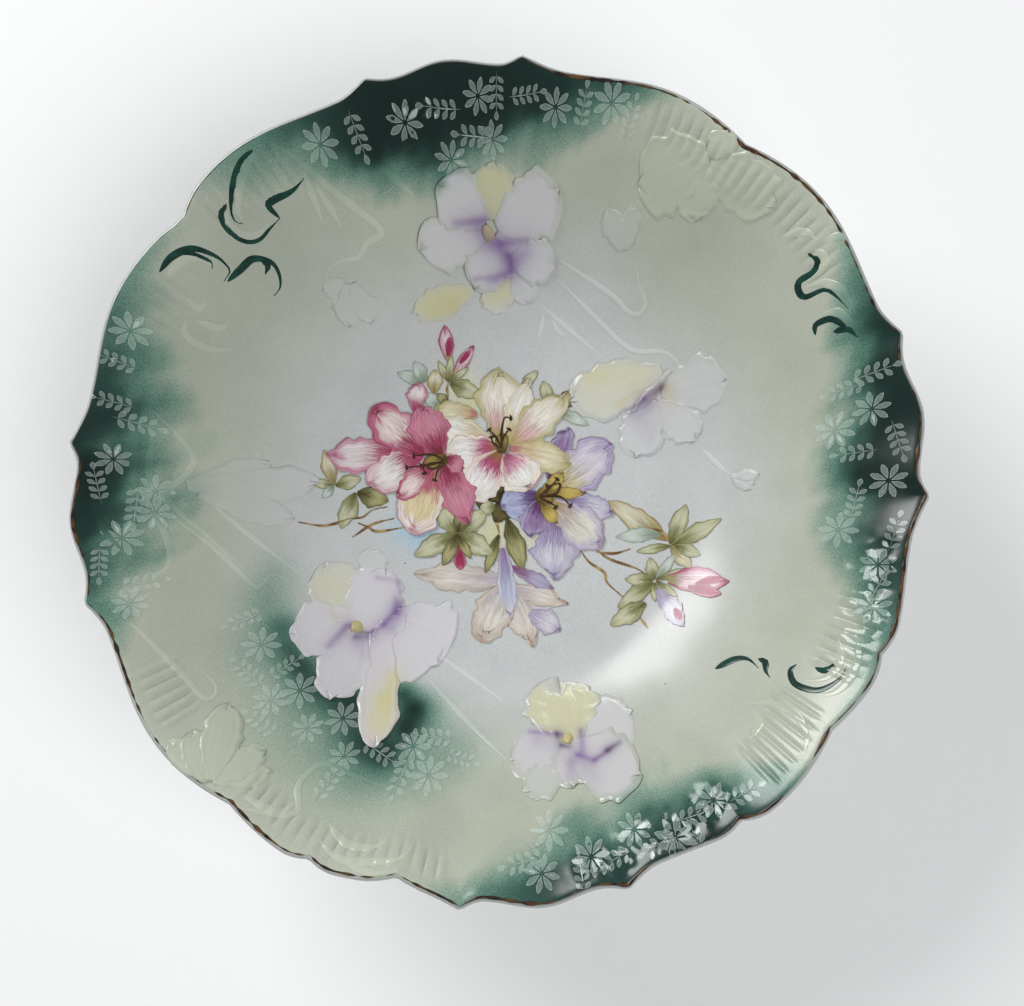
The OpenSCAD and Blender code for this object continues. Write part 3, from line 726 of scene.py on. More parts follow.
# Petals and leaves, each a sheet that runs from its base to its tip.
def petalPlan(base, tip, width, look, seed, step):
    rng = np.random.default_rng(seed)
    base, tip = np.array(base, float), np.array(tip, float)
    length = np.linalg.norm(tip - base)
    along = (tip - base) / length
    left = np.array([-along[1], along[0]])
    rows, columns = max(9, int(length / step) + 2), max(7, int(width / step) + 2)
    s = np.linspace(0, 1, rows)
    u = 0.55 * s + 0.45 * np.sin(s * math.pi / 2)
    v = np.linspace(-1, 1, columns)
    v = 0.6 * v + 0.4 * np.sin(v * math.pi / 2)
    widest, neck, point = look.get("widest", 0.58), look.get("neck", 0.3), look.get("point", 0.3)
    grow = np.sin(math.pi / 2 * np.clip(u / widest, 0, 1))
    x = np.clip((u - widest) / (1 - widest), 0, 1)
    close = mix(np.sqrt(np.maximum(0, 1 - x * x)), 1 - x ** 1.5, point)
    half = width / 2 * (neck + (1 - neck) * grow) * close + 0.12
    bow = look.get("bow", 0.0) * length
    centre = base + np.outer(u, tip - base) + np.outer(4 * u * (1 - u) * bow, left)
    ahead = (tip - base)[None] + np.outer(4 * (1 - 2 * u) * bow, left)
    ahead /= np.linalg.norm(ahead, axis=1)[:, None]
    side = np.c_[-ahead[:, 1], ahead[:, 0]]
    waves, ruffle = look.get("waves", 3.0), look.get("ruffle", 0.1)
    parts = rng.uniform(0, 2 * math.pi, (2, 3))

    def edgeWave(where, which):
        total = np.zeros_like(where)
        for k, share in enumerate((0.6, 0.45, 0.3)):
            total += share * np.sin(2 * math.pi * waves * (0.55 + 0.75 * k) * where + parts[which, k])
        return total

    U, V = np.meshgrid(u, v, indexing="ij")
    wave = np.where(V < 0, edgeWave(U, 0), edgeWave(U, 1))
    across = half[:, None] * V * (1 + ruffle * wave * np.abs(V) ** 2 * ease(U / 0.3))
    turn = rng.uniform(0, 2 * math.pi, 2)
    frill = np.sin(V * waves * 1.9 + turn[0]) + 0.6 * np.sin(V * waves * 4.1 + turn[1])
    push = ease((U - 0.45) / 0.55) * (look.get("frill", 0.04) * length * frill)
    push -= ease((U - 0.5) / 0.5) * look.get("notch", 0.0) * length * (1 - np.abs(V)) ** 1.5
    plan = centre[:, None] + side[:, None] * across[..., None] + ahead[:, None] * push[..., None]
    edge = np.minimum((1 - np.abs(V)) * half[:, None], (1 - U) * length)
    return plan, U, V, edge, wave, length


def sheetFaces(rows, columns, first):
    i, j = np.meshgrid(np.arange(rows - 1), np.arange(columns - 1), indexing="ij")
    a = (first + i * columns + j).ravel()
    total = rows * columns
    top = np.c_[a, a + columns, a + columns + 1, a + 1]
    under = top[:, ::-1] + total
    r, c = np.arange(rows), np.arange(columns)
    loop = np.concatenate([
        r[:-1] * columns, (rows - 1) * columns + c[:-1], r[:0:-1] * columns + columns - 1, c[:0:-1],
    ]) + first
    ahead = np.roll(loop, -1)
    sides = np.c_[loop + total, ahead + total, ahead, loop]
    return np.concatenate([top, under, sides])


def reliefHeight(U, V, edge, wave, look):
    up = ease(edge / look.get("slope", 1.0)) * ease(U / 0.06 + 0.35)
    bead = look.get("bead", 0.16) * np.exp(-((edge - 1.1) / 0.7) ** 2)
    crown = look.get("crown", 0.45) * (1 - V * V) * np.sin(math.pi * np.clip(U, 0, 1) ** 0.8)
    ribs = look.get("ribs", 0.03) * np.cos(V * math.pi * look.get("ribCount",
        5)) * ease(U / 0.15) * ease((1 - U) / 0.3)
    flutter = look.get("flutter", 0.24) * wave * V * V
    return up * (look.get("edge", 0.36) + crown + ribs + flutter) + bead * up


def petalsMesh(name, petals, looks, step, film=None):
    # petals: base x, base y, tip x, tip y, width, and the name of its look
    points, faces = [], []
    tints = {part: [] for part in (("throat", "inner", "middle", "rim", "vein") if film else ("tone",))}
    numbers = {"edgeMm": [], "veins": [], "veil": []}
    sheets, count = [], 0
    for k, (bx, by, tx, ty, width, kind) in enumerate(petals):
        look = dict(looks["all"], **looks[kind])
        rng = np.random.default_rng(len(name) * 31 + k)
        plan, U, V, edge, wave, length = petalPlan((bx, by), (tx, ty), width, look, rng.integers(1 << 30),
            step)
        if film:
            top = np.full(U.shape, film["lift"] + film["layer"] * k)
            under = np.full(U.shape, film["lift"] + film["layer"] * (k - 0.8))
        else:
            top = reliefHeight(U, V, edge, wave, look) + look.get("lift", 0.0) + 0.12 * k - 0.1
            under = np.full(U.shape, -0.4)
        rows, columns = U.shape
        faces.append(sheetFaces(rows, columns, count))
        for z in (top, under):
            points.append(np.c_[plan.reshape(-1, 2), z.ravel()])
            sheets.append(np.c_[U.ravel(), V.ravel(), np.full(U.size, rng.uniform(0, 50))])
            numbers["edgeMm"].append(edge.ravel())
            numbers["veins"].append(np.full(U.size, look.get("veins", 5.0)))
            fade = look.get("fade", 0.0) * (1 - ease(edge.ravel() / 3.2))
            numbers["veil"].append(look.get("veil", 1.0) * (1 - fade))
            for part in tints:
                tints[part].append(np.tile(look[part], (U.size, 1)))
        count += 2 * U.size
    points = np.concatenate(points)
    tints = {part: np.concatenate(values) for part, values in tints.items()}
    numbers = {part: np.concatenate(values) for part, values in numbers.items()}
    if not film:
        tints = {"tint": sprayed(points, tints["tone"], numbers["veil"], spray.get(name, []))}
    del numbers["veil"]
    flat = points * 0.001
    flat[:, :2] = flat[:, :2] * spread + middle[:2]
    mesh = newMesh(name, flat, np.concatenate(faces), tints, numbers)
    layer = mesh.attributes.new("sheet", "FLOAT_VECTOR", "POINT")
    layer.data.foreach_set("vector", np.concatenate(sheets).astype(np.float32).ravel())
    return mesh


def layPetals(name, node, petals, looks, step, material, film=None):
    obj = newObject(name, petalsMesh(name, petals, looks, step, film))
    runTree(obj, laying, {"Bowl": body, "Material": material})
    if film:
        obj.data.set_sharp_from_angle(angle=0.8)
    finishPiece(obj, node)
    return obj


# Lines along routes.
def smoothRoute(route, step):
    p = np.array(route, float)
    p = np.concatenate([[2 * p[0] - p[1]], p, [2 * p[-1] - p[-2]]])
    out = []
    for k in range(1, len(p) - 2):
        n = max(2, int(np.linalg.norm(p[k + 1] - p[k]) / step))
        t = (np.arange(n) / n)[:, None]
        out.append(0.5 * (2 * p[k] + (p[k + 1] - p[k - 1]) * t
            + (2 * p[k - 1] - 5 * p[k] + 4 * p[k + 1] - p[k + 2]) * t ** 2
                          + (3 * p[k] - p[k - 1] - 3 * p[k + 1] + p[k + 2]) * t ** 3))
    return np.concatenate(out + [p[-2:-1]])


def routesMesh(name, routes, step, tail=0.15, early=0.8, lift=0.0, closed=False, swellOf=None):
    points, edges, swell, count = [], [], [], 0
    for k, route in enumerate(routes):
        line = smoothRoute(route, step)
        n = len(line)
        share = np.linspace(0, 1, n)
        own = np.maximum(tail, np.sin(math.pi * share ** early)) if swellOf is None else swellOf(line,
            share, k)
        points.append(np.c_[line, np.full(n, lift)])
        swell.append(own)
        edges += [(count + i, count + i + 1) for i in range(n - 1)]
        if closed:
            edges.append((count + n - 1, count))
        count += n
    flat = np.concatenate(points) * 0.001
    flat[:, :2] = flat[:, :2] * spread + middle[:2]
    mesh = bpy.data.meshes.new(name)
    mesh.from_pydata([tuple(p) for p in flat], edges, [])
    layer = mesh.attributes.new("swell", "FLOAT", "POINT")
    layer.data.foreach_set("value", np.concatenate(swell).astype(np.float32))
    return mesh


def drawLines(name, routes, material, sizes, step=0.8, **options):
    obj = newObject(name, routesMesh(name, routes, step, **options))
    runTree(obj, lining, dict({"Bowl": body, "Material": material}, **sizes))
    return obj


def joinInto(name, objects):
    # one piece from several made parts
    first = objects[0]
    if len(objects) > 1:
        with bpy.context.temp_override(active_object=first, object=first, selected_objects=objects,
                                      selected_editable_objects=objects):
            bpy.ops.object.join()
    first.name = name
    first.data.name = name
    return first


# The moulded irises.
white = paint(206, 206, 207)
relief = {
    "step": 0.55,
    "all": {"tone": white, "veil": 0.9, "widest": 0.64, "neck": 0.3, "point": 0.08, "ruffle": 0.13,
        "waves": 2.8,
            "frill": 0.032, "veins": 6.0},
    "lilac": {"tone": paint(206, 204, 208), "veil": 0.84, "fade": 0.8},
    "pearl": {"tone": paint(208, 205, 210)},
    "snow": {"veil": 0.5, "fade": 0.6},
    "ghost": {"veil": 0.22},
    "cream": {"tone": paint(206, 205, 190), "veil": 0.8, "fade": 0.6},
    "yellow": {"tone": paint(203, 201, 164), "veil": 0.85, "fade": 0.75},
    "leaf": {"tone": paint(198, 202, 180), "veil": 0.3},
    "strap": {"tone": paint(208, 204, 210), "veil": 0.95, "widest": 0.75, "neck": 0.6, "point": 0.0,
        "ruffle": 0.1},
    "lobes": {"tone": paint(204, 202, 168), "fade": 0.8, "widest": 0.7, "neck": 0.45, "notch": 0.16,
        "frill": 0.05},
    "throat": {"tone": paint(205, 196, 130), "veil": 1.0, "crown": 0.9, "edge": 0.8, "ruffle": 0.03,
        "neck": 0.7, "widest": 0.5},
}
reliefSpots = {
    "irisTop": ("iris_top", "petal_lavender", [
        (-10, 70.5, -31, 62, 11.5, "yellow"), (-5, 74, 2, 64.5, 15, "yellow"),
        (5.5, 77, 8.5, 65.5, 10, "snow"),
        (-2.5, 90, -0.5, 105, 14.5, "yellow"), (-2, 86, 9, 75, 14, "lilac"),
        (-4.5, 87, -27, 81.5, 16.5, "lilac"), (-1, 87.5, 20, 97, 19, "lilac"),
        (-5, 89, -19.5, 99, 18, "lilac"), (3, 79, 18, 77, 14, "lilac"),
        (-0.5, 84, -9.5, 70.5, 13.5, "lilac"),
        (-5.5, 88.5, -2.5, 83.5, 3.6, "throat"),
    ]),
    "irisRight": ("iris_right", "petal_cream", [
        (54, 34.5, 76, 36, 18.5, "snow"), (53, 30.5, 66, 17.5, 13.5, "snow"), (51, 32, 45.5, 12, 16, "snow"),
        (55, 40.5, 24, 31.5, 19.5, "cream"), (57.5, 41, 44.5, 26.5, 4.5, "snow"),
    ]),
    "irisLowerLeft": ("iris_lower_left", "petal_lavender", [
        (-46, -31, -44, -19.5, 11, "snow"), (-50.5, -42, -61, -25, 18, "cream"),
        (-40, -44, -22, -58, 34, "pearl"),
        (-48, -44.5, -69.5, -49, 20, "pearl"), (-48, -47.5, -41, -26.5, 20, "pearl"),
        (-42, -44, -36, -50, 15, "pearl"),
        (-41.5, -48, -40, -84.5, 13, "strap"),
        (-48, -48, -55.5, -70, 17, "pearl"), (-51.5, -46, -47.5, -46.8, 4.2, "throat"),
    ]),
    "irisBottom": ("iris_bottom", "petal_cream", [
        (23, -86, 43, -74, 20, "lilac"), (25, -85, 4, -90.5, 18.5, "lilac"),
        (23.5, -89.5, 9, -100, 12, "snow"),
        (22, -84.5, 19, -64.5, 25, "lobes"), (22, -84, 24, -98, 13, "lilac"),
        (21, -87, 45, -94, 21, "lilac"),
        (20.5, -83, 24, -83.8, 4.2, "throat"),
    ]),
    "irisLeft": ("iris_left", "relief_white", [
        (-101, 0, -79.5, 9, 8, "ghost"), (-99, -3, -72, -9, 10, "ghost"), (-102, -1, -65, 3.5, 12, "ghost"),
    ]),
    "irisRimUpperRight": ("iris_rim_upper_right", "relief_green", [
        (68.5, 99, 89, 84, 17, "leaf"), (67, 98, 64.5, 84, 13, "leaf"), (68.5, 100.5, 47, 96, 23, "leaf"),
        (70, 99, 74.5, 106.5, 10, "leaf"),
    ]),
    "irisRimLowerLeft": ("iris_rim_lower_left", "relief_green", [
        (-85.5, -95.5, -69, -93, 8, "leaf"), (-86.5, -94.5, -99, -84, 10, "leaf"),
        (-85.5, -95.5, -72, -87, 10, "leaf"),
        (-86.5, -95.5, -93, -81, 11, "leaf"), (-85.5, -95.5, -84.5, -73, 12, "leaf"),
    ]),
    "budUpperLeft": ("bud_upper_left", "relief_white", [
        (-53, 71, -60, 66, 6, "ghost"), (-52, 70, -53, 57, 9, "ghost"), (-51, 70, -45, 59, 9, "ghost"),
    ]),
    "budUpperRight": ("bud_upper_right", "relief_white", [
        (42, 79, 45, 91, 7, "ghost"), (41, 79, 37, 91, 8, "ghost"),
    ]),
    "budRight": ("bud_right", "relief_white", [
        (77, 4, 84, -1, 6, "snow"), (77.5, 3, 86, 3, 5, "snow"),
    ]),
}
# Colour sprayed on the moulded petals: colour, from, to, spread and strength.
sprayColours = {
    "violet": paint(120, 84, 148), "plum": paint(78, 44, 98), "yellow": paint(206, 200, 138),
    "gold": paint(196, 176, 96), "snow": white,
}
spray = {
    "irisTop": [
        ("violet", -5, 90, -15, 89, 1.3, 0.75), ("violet", -7, 87, -5, 83, 2.2, 0.5),
        ("violet", 0, 83.5, 8.5, 84, 1.3, 0.75),
        ("violet", -2, 83.5, 3, 79, 2.4, 0.7), ("plum", 2.5, 80, 3.2, 75.5, 1.1, 0.7),
        ("violet", 3.2, 75.5, -4, 72.5, 1.4, 0.75),
        ("violet", 4, 78, 9, 80.5, 2.4, 0.55), ("violet", -9.5, 73, -1, 74, 0.8, 0.45),
        ("gold", -17, 65, -23, 63, 3, 0.35),
        ("snow", -6, 63, 10, 63.5, 2, 0.6),
    ],
    "irisRight": [
        ("plum", 54.5, 35.5, 48.5, 31.5, 1.3, 0.85), ("plum", 48.5, 31.5, 44, 27, 1.1, 0.7),
        ("violet", 50, 30, 46.5, 26, 2.6, 0.4),
        ("violet", 49.5, 22, 50.5, 17, 3, 0.14), ("yellow", 31, 40, 47, 40, 4, 0.4),
        ("gold", 39.5, 29.5, 45, 34, 0.9, 0.35),
        ("gold", 56.5, 34, 57.5, 29.5, 2.2, 0.3),
    ],
    "irisLowerLeft": [
        ("violet", -52.5, -46, -58, -53, 1.4, 0.75), ("plum", -49.5, -49.8, -45, -49.5, 1.3, 0.7),
        ("violet", -48, -52, -46, -56, 2.6, 0.25),
        ("violet", -44.5, -48.5, -40.5, -45.5, 1.2, 0.6), ("violet", -40.5, -45.5, -36.5, -40.5, 1.2, 0.8),
        ("violet", -36.5, -41, -36.3, -37, 1.3, 0.7),
        ("violet", -35.2, -39, -38, -47, 2, 0.5), ("violet", -43, -29.5, -36.5, -30.5, 0.8, 0.35),
        ("violet", -35.8, -31, -35.5, -34, 0.8, 0.5),
        ("yellow", -36.3, -63, -38, -70, 1.8, 0.7), ("yellow", -38.5, -71, -38, -80, 3.2, 0.8),
        ("yellow", -42, -77, -41, -82, 2.4, 0.4),
        ("yellow", -60, -32, -55, -38, 4, 0.2), ("gold", -57.5, -42, -55.5, -45, 0.8, 0.3),
    ],
    "irisBottom": [
        ("violet", 20, -82.2, 9.5, -81.3, 0.7, 0.8), ("plum", 18.5, -81.8, 19.3, -84, 0.8, 0.75),
        ("plum", 20, -85.6, 23, -86, 0.7, 0.85),
        ("violet", 26.5, -81, 27.2, -88, 0.9, 0.65), ("violet", 25.5, -88.5, 30.5, -90, 0.8, 0.75),
        ("violet", 31, -90, 35.5, -87, 0.8, 0.85),
        ("plum", 35, -87, 39, -84.5, 0.9, 0.9), ("violet", 26, -88.5, 31, -95, 2.6, 0.28),
        ("violet", 23.5, -91, 23.5, -95, 1.6, 0.4), ("violet", 12, -84, 18, -86, 2.4, 0.22),
        ("snow", 9, -64, 17, -61, 1.6, 0.6), ("snow", 22, -61.5, 31, -65, 1.6, 0.6),
    ],
}


def sprayed(points, tone, veil, dashes):
    x, y = points[:, 0], points[:, 1]
    colour = mix(groundColour(x, y), tone, veil)
    for kind, x0, y0, x1, y1, width, strength in dashes:
        dx, dy = x1 - x0, y1 - y0
        t = np.clip(((x - x0) * dx + (y - y0) * dy) / (dx * dx + dy * dy), 0, 1)
        off = np.hypot(x - x0 - t * dx, y - y0 - t * dy) / width
        near = strength * (0.72 * np.exp(-off ** 2) + 0.28 * np.exp(-(off / 2.6) ** 2)) * (1 - 0.4 * t)
        colour = mix(colour, sprayColours[kind], near)
    return colour


petalRelief = reliefPetal("petalRelief")
for label, (node, slot, petals) in reliefSpots.items():
    layPetals(label, node, petals, relief, relief["step"], petalRelief)
print("irises made")

# Raised stems and scrolls.
ridges = {
    "stem": {"Width": 0.0020, "Height": 0.0014, "Roundness": 1.1, "Sink": 0.0003, "Sides": 16},
    "scroll": {"Width": 0.0027, "Height": 0.0016, "Roundness": 1.1, "Sink": 0.0003, "Sides": 16},
    "stems_right": ("stem", "relief_white", [
        [(19, 79), (37, 67), (43, 61), (47, 60), (49, 63), (47, 69), (46, 76)],
        [(13, 65), (24, 55.5), (35, 46)],
        [(19, 73), (31, 61), (40, 52), (46, 48), (55, 47), (60, 43), (60, 40), (53, 37)],
        [(68, 14), (72, 9), (78, 3)], [(14, 62), (13, 57), (12, 53)], [(17, 60), (19, 56), (22, 54)],
    ]),
    "stems_left": ("stem", "relief_green", [
        [(-107, -11), (-95, -20), (-82, -33), (-80, -33), (-77, -29), (-72, -31)],
        [(-96, -6), (-83, -17), (-68, -29)],
        [(-113, 20), (-111, 22), (-101, 10), (-102, 3), (-107, -6), (-94, -19), (-81, -32)],
        [(-113, -7), (-107, -18), (-105, -27), (-108, -31), (-113, -30)],
        [(-111, 16), (-112, 4), (-111, -8)], [(-115, 12), (-116, 3), (-115, -6)],
        [(-127, -5), (-124, -16), (-114, -28)],
    ]),
    "stems_lower": ("stem", "relief_white", [
        [(-23, -55), (-10, -64), (3, -73)], [(-26, -63), (-12, -77), (2, -90)],
        [(-115, -47), (-111, -49), (-98, -63), (-92, -70), (-89, -70), (-89, -66), (-95, -60)],
        [(-78, -103), (-70, -105), (-63, -106), (-60, -104), (-61, -98), (-59, -94), (-54, -91), (-44, -95),
            (-33, -99)],
    ]),
    "scrolls_upper_left": ("scroll", "relief_green", [
        [(-75, 104), (-79, 100), (-82, 93), (-83, 86), (-81, 83)],
        [(-86, 86), (-86, 82), (-82, 79.5), (-78, 80.5), (-74, 84.5)],
        [(-105, 63.5), (-101, 68.5), (-96, 70.5), (-92, 69)],
        [(-72, 107), (-63, 102), (-52, 94), (-40, 86), (-45, 82), (-48, 78), (-54, 76), (-58, 73),
            (-59, 70)],
        [(-55, 67), (-56, 63), (-52, 61)], [(-40, 104), (-33, 99.5), (-27, 95)],
        [(-40, 104), (-33, 107), (-26, 110), (-21, 105)],
        [(-100, 58), (-97, 56), (-95, 58)], [(-98, 52), (-92, 51), (-89, 53)],
        [(-101, 52), (-101, 47), (-95, 44), (-89, 45)],
        [(-62, 99), (-60, 92), (-58, 86)], [(-59, 96), (-55, 90), (-52, 85)],
    ]),
    "scrolls_upper_right": ("scroll", "relief_green", [
        [(101, 70), (104, 66.5), (103, 62.5), (99, 60.5)], [(99, 59), (104, 59), (109, 56), (112.5, 50)],
        [(104, 50), (108, 49.5), (113, 45)], [(92, 75), (98, 75), (102, 72)],
        [(103, 71), (109, 72), (112, 68)],
    ]),
    "scrolls_lower_right": ("scroll", "relief_green", [
        [(111, -51), (111, -58), (108, -65), (103, -69), (97, -69)],
        [(106, -52), (106, -59), (102, -64), (96, -65)],
        [(79, -72), (86, -72), (92, -75), (95, -82), (93, -89)],
        [(80, -74), (82, -77), (81, -80), (79, -83)],
    ]),
    "scrolls_lower_left": ("scroll", "relief_green", [
        [(-51, -108), (-45, -114), (-39, -115.5), (-34, -114.5), (-32, -111.5)],
        [(-53, -113), (-46, -118.5), (-37, -119.5), (-28, -118.5), (-24, -114.5)],
        [(-76, -100), (-66, -105), (-61, -102)], [(-44, -120), (-36, -122.5), (-30, -122)],
    ]),
}
reliefGlaze = groundGlaze("reliefGlaze", grain=0.03, specks=False, rough=0.11)
for node in ("stems_right", "stems_left", "stems_lower", "scrolls_upper_left", "scrolls_upper_right",
             "scrolls_lower_right", "scrolls_lower_left"):
    kind, slot, routes = ridges[node]
    line = drawLines(node + "_line", routes, reliefGlaze, ridges[kind])
    # painted highlight: each raised line is coloured 12% lighter than the ground beneath it
    writeColour(line.data, "ground", np.minimum(groundOf(line.data) * 1.12, 0.72))
    finishPiece(line, node)
print("raised lines made")

# Painted strokes and the worn rim line.
strokes = {
    "size": {"Width": 0.0021, "Height": 0.00014, "Roundness": 0.5, "Sink": 0.0002, "Sides": 10},
    "colour": paint(14, 46, 40),
    "second": paint(22, 66, 56),
    "painted_scrolls_upper_left": [
        [(-77, 104), (-81, 100), (-84, 93), (-85, 86), (-84, 83), (-81, 83)],
        [(-86, 88), (-88, 84), (-86, 80), (-82, 78), (-78, 79), (-74, 83), (-71, 86)],
        [(-71, 86), (-74, 89), (-72, 91), (-68, 93), (-65, 95), (-62, 98)],
        [(-107, 65), (-103, 70), (-97, 73), (-91, 72), (-88, 70), (-87, 68), (-89, 65)],
        [(-101, 72), (-96, 71), (-92, 70), (-92, 68)],
        [(-88, 65), (-84, 69), (-80, 73), (-75, 73), (-73, 70), (-73, 66), (-75, 63)],
        [(-78, 73), (-76, 72), (-77, 69)],
    ],
    "painted_scrolls_right": [
        [(99, 69), (102, 66), (101, 63), (97, 61), (97, 58), (99, 56), (104, 57), (107, 55), (111, 50)],
        [(102, 44), (102, 47), (106, 48), (109, 46), (114, 41)], [(107, 44), (111, 44), (114, 41)],
    ],
    "painted_scrolls_lower_right": [
        [(70, -61), (76, -58), (80, -58), (83, -61)], [(83, -58), (85, -59), (85, -62), (86, -64)],
        [(94, -60), (92, -62), (93, -66), (98, -68), (102, -67), (106, -64), (108, -60)],
        [(99, -61), (101, -62), (104, -61), (107, -57)],
    ],
}
strokeGlaze = lineGlaze("strokeGlaze", strokes["colour"], strokes["second"])
for node in ("painted_scrolls_upper_left", "painted_scrolls_right", "painted_scrolls_lower_right"):
    line = drawLines(node + "_stroke", strokes[node], strokeGlaze, strokes["size"], tail=0.12, early=0.6)
    finishPiece(line, node)

rimLine = {
    "size": {"Width": 0.0013, "Height": 0.00012, "Roundness": 0.5, "Sink": 0.0003, "Sides": 8},
    "inward": 1.5,
    "colour": paint(36, 28, 24),
    "second": paint(96, 70, 44),
    "seed": 12,
}


def rimRoute():
    a = np.arange(0, 360, 0.4)
    r = rimAt(a) - rimLine["inward"]
    return np.c_[r * np.cos(np.radians(a)), r * np.sin(np.radians(a))]


def rimWear(line, share, k):
    x, y = line[:, 0], line[:, 1]
    way = np.mod(np.degrees(np.arctan2(y, x)), 360)
    kept = 1 - 0.75 * ease((way - 88) / 15) * ease((182 - way) / 12)
    thick = 0.5 + 0.5 * softNoise(x, y, 30, rimLine["seed"]) + 0.35 * softNoise(x, y, 6, rimLine["seed"] + 1)
    return np.clip(thick * kept, 0.06, 1.15)


rimGlaze = lineGlaze("rimGlaze", rimLine["colour"], rimLine["second"])
route = rimRoute()
line = drawLines("rimLine", [route], rimGlaze, rimLine["size"], step=0.9, closed=True, swellOf=rimWear)
finishPiece(line, "rim_line")
print("painted lines made")

